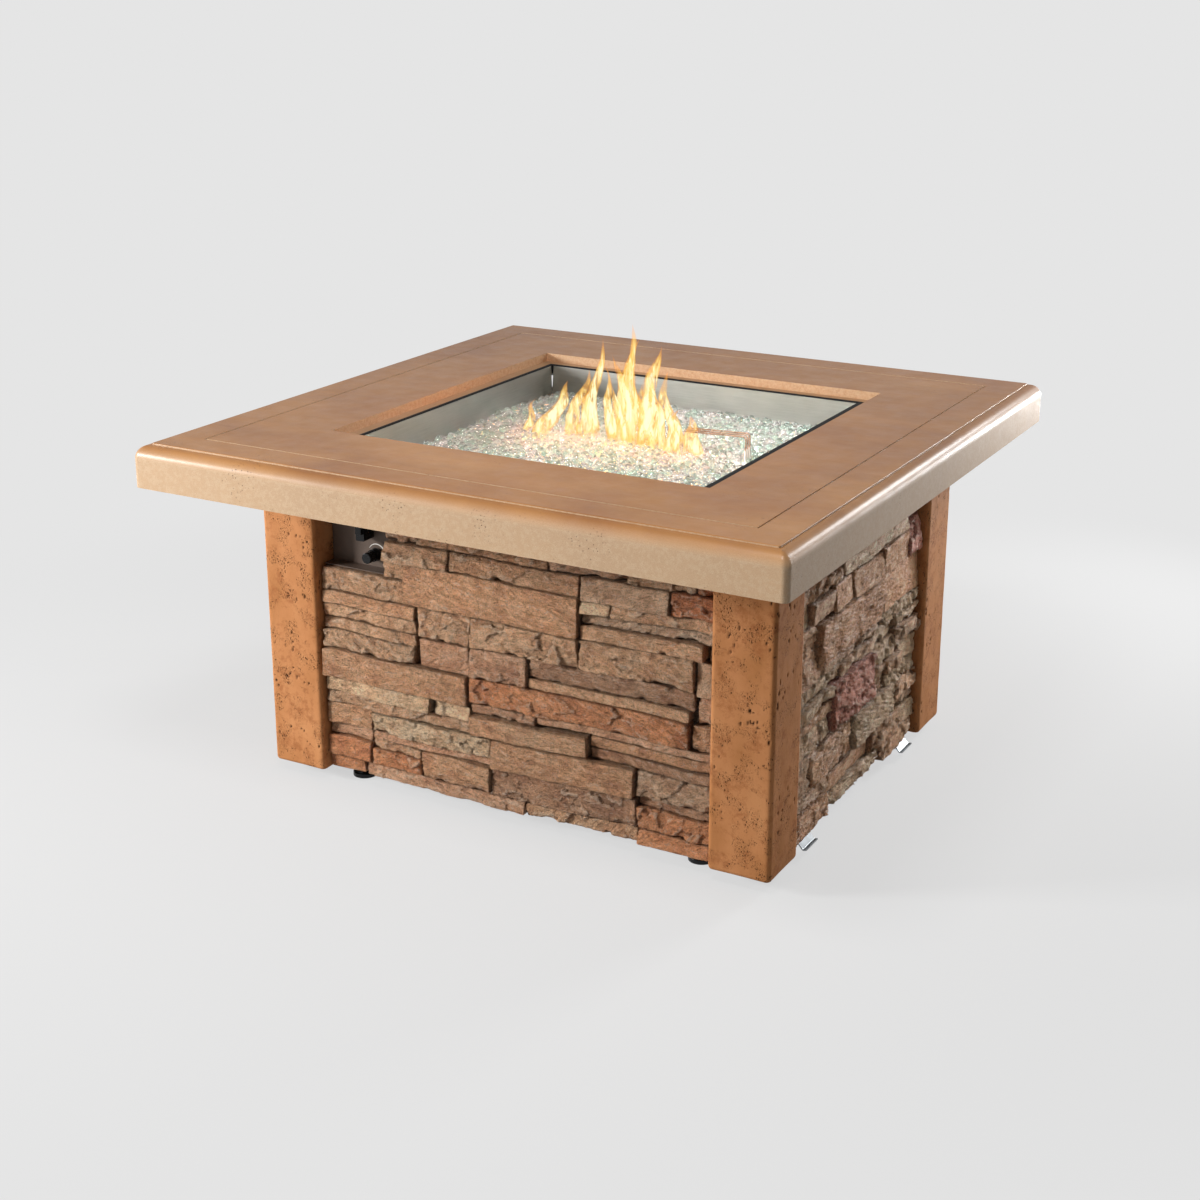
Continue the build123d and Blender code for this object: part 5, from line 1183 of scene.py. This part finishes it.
def run_tree(tree, name, points, faces, inputs):
    """Runs a node tree on a throwaway mesh and returns the result as a plain mesh."""
    mesh = bpy.data.meshes.new(name + "_base")
    mesh.from_pydata(points.tolist(), [], faces.tolist())
    carrier = put(name + "_base", mesh)
    modifier = carrier.modifiers.new("scatter", "NODES")
    modifier.node_group = tree
    for item in tree.interface.items_tree:
        if item.in_out == "INPUT" and item.name in inputs:
            modifier[item.identifier] = inputs[item.name]
    bpy.context.view_layer.update()
    graph = bpy.context.evaluated_depsgraph_get()
    plain = bpy.data.meshes.new_from_object(carrier.evaluated_get(graph))
    carrier.modifiers.remove(modifier)
    bpy.data.objects.remove(carrier)
    plain.name = name
    return plain


bead_tree = make_bead_tree()
print("tree with", len(bead_tree.nodes), "nodes")

# %% Fire glass
BEAD_RADIUS = 0.0062
BEAD_SPACING = 0.0104
BEAD_LIFT = 0.003
BEAD_SEED = 3
BEAD_LAYERS = (-0.0105, -0.0030)  # depth of the two layers under the bed's surface
BED_CELLS = 24
BED_RISE = 0.014  # the heap's middle above its edge
BED_SINK = 0.004  # the heap's middle under the node's
BED_SWELL = 0.0022
bed_low, bed_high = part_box("fire_glass_bed")
BED_HALF = bed_high.x - 0.006


def bed_height(x, y):
    """The heap of glass is highest over the burner and falls to the pan's walls, in metres."""
    away = np.maximum(np.abs(x), np.abs(y)) / BED_HALF
    swell = BED_SWELL * np.sin(x * 31 + 1) * np.cos(y * 27)
    return bed_high.z - BED_SINK - BED_RISE * away ** 2 + swell


def bed_patch(x_side, y_side, depth):
    """A quarter of the bed's surface as a grid."""
    line = np.linspace(0, BED_HALF, BED_CELLS + 1)
    x, y = np.meshgrid(line * x_side, line * y_side, indexing="ij")
    points = np.stack([x, y, bed_height(x, y) + depth], axis=-1).reshape(-1, 3)
    faces = grid_faces(x.shape)
    return points, faces if x_side * y_side > 0 else faces[:, ::-1]


for number, (x_side, y_side) in enumerate(itertools.product((-1, 1), repeat=2)):
    for layer, depth in enumerate(BEAD_LAYERS):
        points, faces = bed_patch(x_side, y_side, depth)
        name = f"fire_glass_{'left' if x_side < 0 else 'right'}_{'front' if y_side < 0 else 'back'}_{layer}"
        inputs = {"Spacing": BEAD_SPACING, "Bead Radius": BEAD_RADIUS, "Lift": BEAD_LIFT,
                  "Seed": BEAD_SEED + 10 * number + layer, "Finish": finishes["fire_glass"]}
        piece = put(name, run_tree(bead_tree, name, points, faces, inputs))
        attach(piece, "root")
        piece.visible_shadow = False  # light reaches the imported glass, as it does through real beads
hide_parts("fire_glass_bed")

# %% [markdown]
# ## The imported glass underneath
# Below the two layers of beads the glass lies packed, and nobody sees single beads there. One closed
# block with a lumpy top stands for it, so that light from the gaps comes back warm grey, not black.

# %% Packed glass
PACKED_DEPTH = 0.0125  # under the bed's surface
PACKED_LUMPS = 0.002
PACKED_POINTS = 121  # along each side


def build_packed_glass():
    line = np.linspace(-BED_HALF, BED_HALF, PACKED_POINTS)
    x, y = np.meshgrid(line, line, indexing="ij")
    lumps = PACKED_LUMPS * smooth_noise(flat_points(x.ravel(), y.ravel()) * 95, 5)
    top = np.stack([x.ravel(), y.ravel(), bed_height(x, y).ravel() - PACKED_DEPTH + lumps], axis=1)
    rim = ring_of(x.shape)
    base = top[rim].copy()
    base[:, 2] = bed_low.z
    lower = len(top) + np.arange(len(rim))
    faces = grid_faces(x.shape).tolist() + strip_faces(rim, lower).tolist() + [lower[::-1].tolist()]
    return make_mesh("packed_glass", np.concatenate([top, base]), faces, "glass_bed", "root")


print("packed glass has", len(build_packed_glass().data.polygons), "faces")

# %% [markdown]
# ## Dial mark
# Round the knob runs a plain white arc that swells from low to high flame. It is paint, so it is a thin
# strip laid on the plate.

# %% Dial mark
DIAL_RADIUS = 0.0165
DIAL_SPAN = (math.radians(20), math.radians(150))
DIAL_WIDTHS = (0.0024, 0.0007)
DIAL_POINTS = 33
PAINT = 0.0003


def build_dial_mark(face_y):
    """An arc round the knob that narrows along its length, on a face that looks to the front."""
    low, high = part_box("knob")
    centre_x, centre_z = (low.x + high.x) / 2, (low.z + high.z) / 2
    points = []
    for angle, width in zip(np.linspace(*DIAL_SPAN, DIAL_POINTS), np.linspace(*DIAL_WIDTHS, DIAL_POINTS)):
        inner, outer = DIAL_RADIUS - width / 2, DIAL_RADIUS + width / 2
        for away, y in ((inner, face_y), (inner, face_y - PAINT), (outer, face_y - PAINT), (outer, face_y)):
            points.append((centre_x + away * math.cos(angle), y, centre_z + away * math.sin(angle)))
    ends = [[3, 2, 1, 0], list(range(len(points) - 4, len(points)))]
    faces = tube_faces(DIAL_POINTS, 4).tolist() + ends
    make_mesh("dial_mark", np.array(points), faces, "white_ceramic", "root", smooth=False)


plate_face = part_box("valve_bonnet_nut")[1].y  # the nut sits on the plate
build_dial_mark(plate_face)
print("dial mark on the plate's face at y", round(plate_face, 4))

# %% [markdown]
# ## Knob spring
# A coil spring pushes the knob back out. It stands between the knob's washer and the valve's nut, so it
# gets shorter as the knob goes in, and a rigid copy would run through the nut. The wire is wound again
# here.

# %% Knob spring
SPRING_WIRE = 0.0003  # radius
SPRING_TURNS = 3
SPRING_STEPS = 120
SPRING_SIDES = 8


def build_knob_spring():
    node = "knob_return_spring"
    low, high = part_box(node)
    centre = (low + high) / 2
    turn = np.linspace(0, SPRING_TURNS * math.tau, SPRING_STEPS + 1)[:, None]
    outward = np.concatenate([np.cos(turn), np.zeros_like(turn), np.sin(turn)], axis=1)
    wire = outward * ((high.x - low.x) / 2 - SPRING_WIRE) + np.array(centre)
    wire[:, 1] = np.linspace(high.y - SPRING_WIRE, low.y + SPRING_WIRE, len(wire))
    angles = np.arange(SPRING_SIDES) * math.tau / SPRING_SIDES
    rings = [wire + SPRING_WIRE * (outward * math.cos(a) + np.array([0, math.sin(a), 0])) for a in angles]
    points = np.stack(rings, axis=1).reshape(-1, 3)
    ends = [list(range(SPRING_SIDES))[::-1], list(range(len(points) - SPRING_SIDES, len(points)))]
    faces = tube_faces(len(wire), SPRING_SIDES).tolist() + ends
    piece = make_mesh("knob_spring", points, faces, slots[node], body_of(node))
    shell = bmesh.new()
    shell.from_mesh(piece.data)
    bmesh.ops.recalc_face_normals(shell, faces=shell.faces)
    shell.to_mesh(piece.data)
    shell.free()
    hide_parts(node)
    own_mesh(piece)


build_knob_spring()

# %% [markdown]
# ## Seal round the pan
# A woven seal fills the gap between the concrete ledge and the pan, and bulges a little over the pan's
# edge, most of all on the right. Its section is drawn for either width and carried round the square with
# mitred corners.

# %% Pan seal
SEAL_LIP = 0.0055  # how far the bulge leans over the pan on the right
SEAL_EDGE = 0.0005  # and on the other sides
SEAL_BULGE = 0.0022  # how far it stands above the ledge
SEAL_TURNS = 10
SEAL_WIDTH = 0.0076  # under the bulge
SEAL_DIP = 0.0004  # of its inner edge under the ledge


def seal_section(low, high, lip):
    """Distances from the table's middle and heights round the seal's section."""
    outer = high.x
    inner = outer - SEAL_WIDTH
    middle = (outer + inner - lip) / 2
    reach = (outer - inner + lip) / 2
    angles = np.linspace(0, math.pi, SEAL_TURNS + 1)
    section = [(outer, low.z)]
    section += [(middle + reach * math.cos(a), high.z + SEAL_BULGE * math.sin(a)) for a in angles]
    return section + [(inner, high.z - SEAL_DIP), (inner, low.z)]


def build_seal():
    low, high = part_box("heat_gasket")
    wide = seal_section(low, high, SEAL_LIP)
    narrow = seal_section(low, high, SEAL_EDGE)
    points = []
    for x_side, y_side in ((1, -1), (1, 1), (-1, 1), (-1, -1)):
        across = wide if x_side > 0 else narrow
        points += [(x_side * x, y_side * y, height) for (x, _), (y, height) in zip(across, narrow)]
    corners = np.arange(len(points)).reshape(4, -1)
    faces = np.concatenate([strip_faces(corners[i], corners[(i + 1) % 4]) for i in range(4)])
    piece = make_mesh("pan_seal", np.array(points), faces, "fibre_gasket", "root",
                      smooth=False)
    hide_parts("heat_gasket")
    print("seal has", len(piece.data.polygons), "faces")


build_seal()

# %% [markdown]
# ## Flames
# The flames belong to the picture, not to the table, so they are staged like the floor. Each tongue is a
# skin round a swaying line. Layer Weight makes the skin clear at its rim and full in its middle, so that
# it reads as a soft body of light, and an attribute named rise fades it out towards the tip.

# %% Flame finish
def make_flame():
    finish = Finish("flame")
    rise = finish.attribute("rise", "Fac")
    facing = finish.node("LayerWeight", {"Blend": 0.5}).outputs["Facing"]
    body = finish.math("POWER", finish.math("SUBTRACT", 1.0, facing), 1.5)
    licks = finish.noise(finish.place(stretch=(1, 1, 0.16)), 110, 4, 0.6, 0.6)
    body = finish.math("MULTIPLY", body, finish.ramp(licks, (0.38, 0.12), (0.60, 1.0)))
    fade = finish.ramp(rise, (0.0, 0.1), (0.3, 1.0), (0.5, 1.0), (0.8, 0.6), (1.0, 0.1))
    body = finish.math("MULTIPLY", body, fade)
    colour = finish.ramp(body, (0.04, "ff9428"), (0.20, "ffb848"), (0.40, "ffdc80"), (0.62, "fff4c8"))
    light = finish.node("Emission", {"Color": colour, "Strength": 1.25}).outputs[0]
    clear = finish.node("BsdfTransparent").outputs[0]
    cover = finish.ramp(body, (0.0, 0.0), (0.20, 0.26), (0.55, 0.78), (0.90, 0.95))
    return finish.ends_in(finish.node("MixShader", {0: cover, 1: clear, 2: light}))


flame_finish = make_flame()
print("made", flame_finish.name)


# %% Flame tongues
FLAME_TONGUES = [  # x of the foot, bend and tip, height of the tip over the top, half width, in millimetres
    (43, 22, 36, 154, 16), (30, 10, 34, 126, 13), (58, 90, 52, 66, 10), (-44, -62, -30, 118, 12),
    (-105, -80, -54, 66, 13), (-147, -115, -88, 42, 17), (-18, -20, -27, 76, 9), (-10, 6, -2, 63, 10),
    (24, 4, 13, 73, 9), (45, 62, 76, 119, 18), (22, 8, -6, 95, 13), (130, 92, 87, 78, 15),
    (149, 128, 151, 15, 16), (85, 84, 74, 45, 9), (-188, -172, -160, 6, 7), (100, 110, 118, 20, 14),
    (-75, -66, -62, 30, 12), (0, 12, 30, 40, 16), (60, 50, 44, 50, 16),
]
FLAME_ROWS = 40
FLAME_SECTIONS = 16
FLAME_SWAY = 0.007
FLAME_ROOT = 0.020  # depth of a foot in the glass
FLAME_SPREAD = 0.016  # how far a foot stands off the middle line
FLAME_PEAK = 0.55  # the lower, the nearer to the foot a tongue is thickest
FLAME_RAGGED = 0.85
FLAME_THINNEST = 0.12  # part of a row's thickness that is always left
FLAME_FLAT = 0.7  # depth of a tongue as a part of its width
FLAME_SEED = 60


def build_flame(number, tongue):
    """A tongue on the stage, from a row of FLAME_TONGUES."""
    foot_x, bend_x, tip_x, height, half_width = (value / 1000 for value in tongue)
    dice = np.random.default_rng(FLAME_SEED + number)
    foot = np.array([foot_x, dice.uniform(-1, 1) * FLAME_SPREAD, bed_high.z - FLAME_ROOT])
    tip = np.array([tip_x, dice.uniform(-1, 1) * FLAME_SPREAD, top_high.z + height])
    bend = np.array([bend_x, (foot[1] + tip[1]) / 2, (foot[2] + tip[2]) / 2])
    t = np.linspace(0, 1, FLAME_ROWS)
    part = t[:, None]
    line = foot * (1 - part) ** 2 + bend * 2 * part * (1 - part) + tip * part ** 2
    line[:, 0] += FLAME_SWAY * t * np.sin(t * 9 + dice.random() * math.tau)
    thick = half_width * np.sin(math.pi * t ** FLAME_PEAK) ** 0.9
    angle = np.arange(FLAME_SECTIONS) * math.tau / FLAME_SECTIONS
    rise, turn = np.meshgrid(t, angle, indexing="ij")
    spot = np.stack([np.cos(turn) * 1.1, np.sin(turn) * 1.1, rise * (tip[2] - foot[2]) / 0.04], axis=-1)
    bumps = fractal(spot.reshape(-1, 3) + number * 9.7, 80 + number, 3).reshape(rise.shape)
    radius = thick[:, None] * np.maximum(1 + FLAME_RAGGED * bumps, FLAME_THINNEST)
    points = np.stack([line[:, :1] + radius * np.cos(turn),
                       line[:, 1:2] + FLAME_FLAT * radius * np.sin(turn),
                       np.broadcast_to(line[:, 2:], rise.shape)], axis=-1).reshape(-1, 3)
    mesh = bpy.data.meshes.new(f"flame_{number}")
    mesh.from_pydata(points.tolist(), [], tube_faces(FLAME_ROWS, FLAME_SECTIONS).tolist())
    mesh.materials.append(flame_finish)
    mesh.polygons.foreach_set("use_smooth", [True] * len(mesh.polygons))
    mark_points(mesh, "rise", rise.ravel())
    flame = put(mesh.name, mesh)
    flame.visible_shadow = False
    flame.visible_diffuse = False


for number, tongue in enumerate(FLAME_TONGUES):
    build_flame(number, tongue)
print(len(FLAME_TONGUES), "flames")

# %% [markdown]
# ## Light of the fire
# The flames themselves light nothing. Three small warm lamps inside them do, and what they reach is the
# glass and the concrete round it.

# %% Fire lamps
FIRE_COLOUR = (1.0, 0.34, 0.07)
FIRE_WATTS = 0.66
FIRE_PLACES = (-0.10, 0.02, 0.14)  # from left to right
FIRE_FORWARD = 0.05
FIRE_RISE = 0.03  # above the top
FIRE_RADIUS = 0.03

for number, x in enumerate(FIRE_PLACES):
    fire = bpy.data.lights.new(f"fire_{number}", "POINT")
    fire.energy = FIRE_WATTS
    fire.color = FIRE_COLOUR
    fire.shadow_soft_size = FIRE_RADIUS
    lamp = put(fire.name, fire)
    lamp.location = (x, -FIRE_FORWARD, top_high.z + FIRE_RISE)
    lamp.visible_camera = False
    lamp.visible_glossy = False
print(len(FIRE_PLACES), "lamps in the fire")
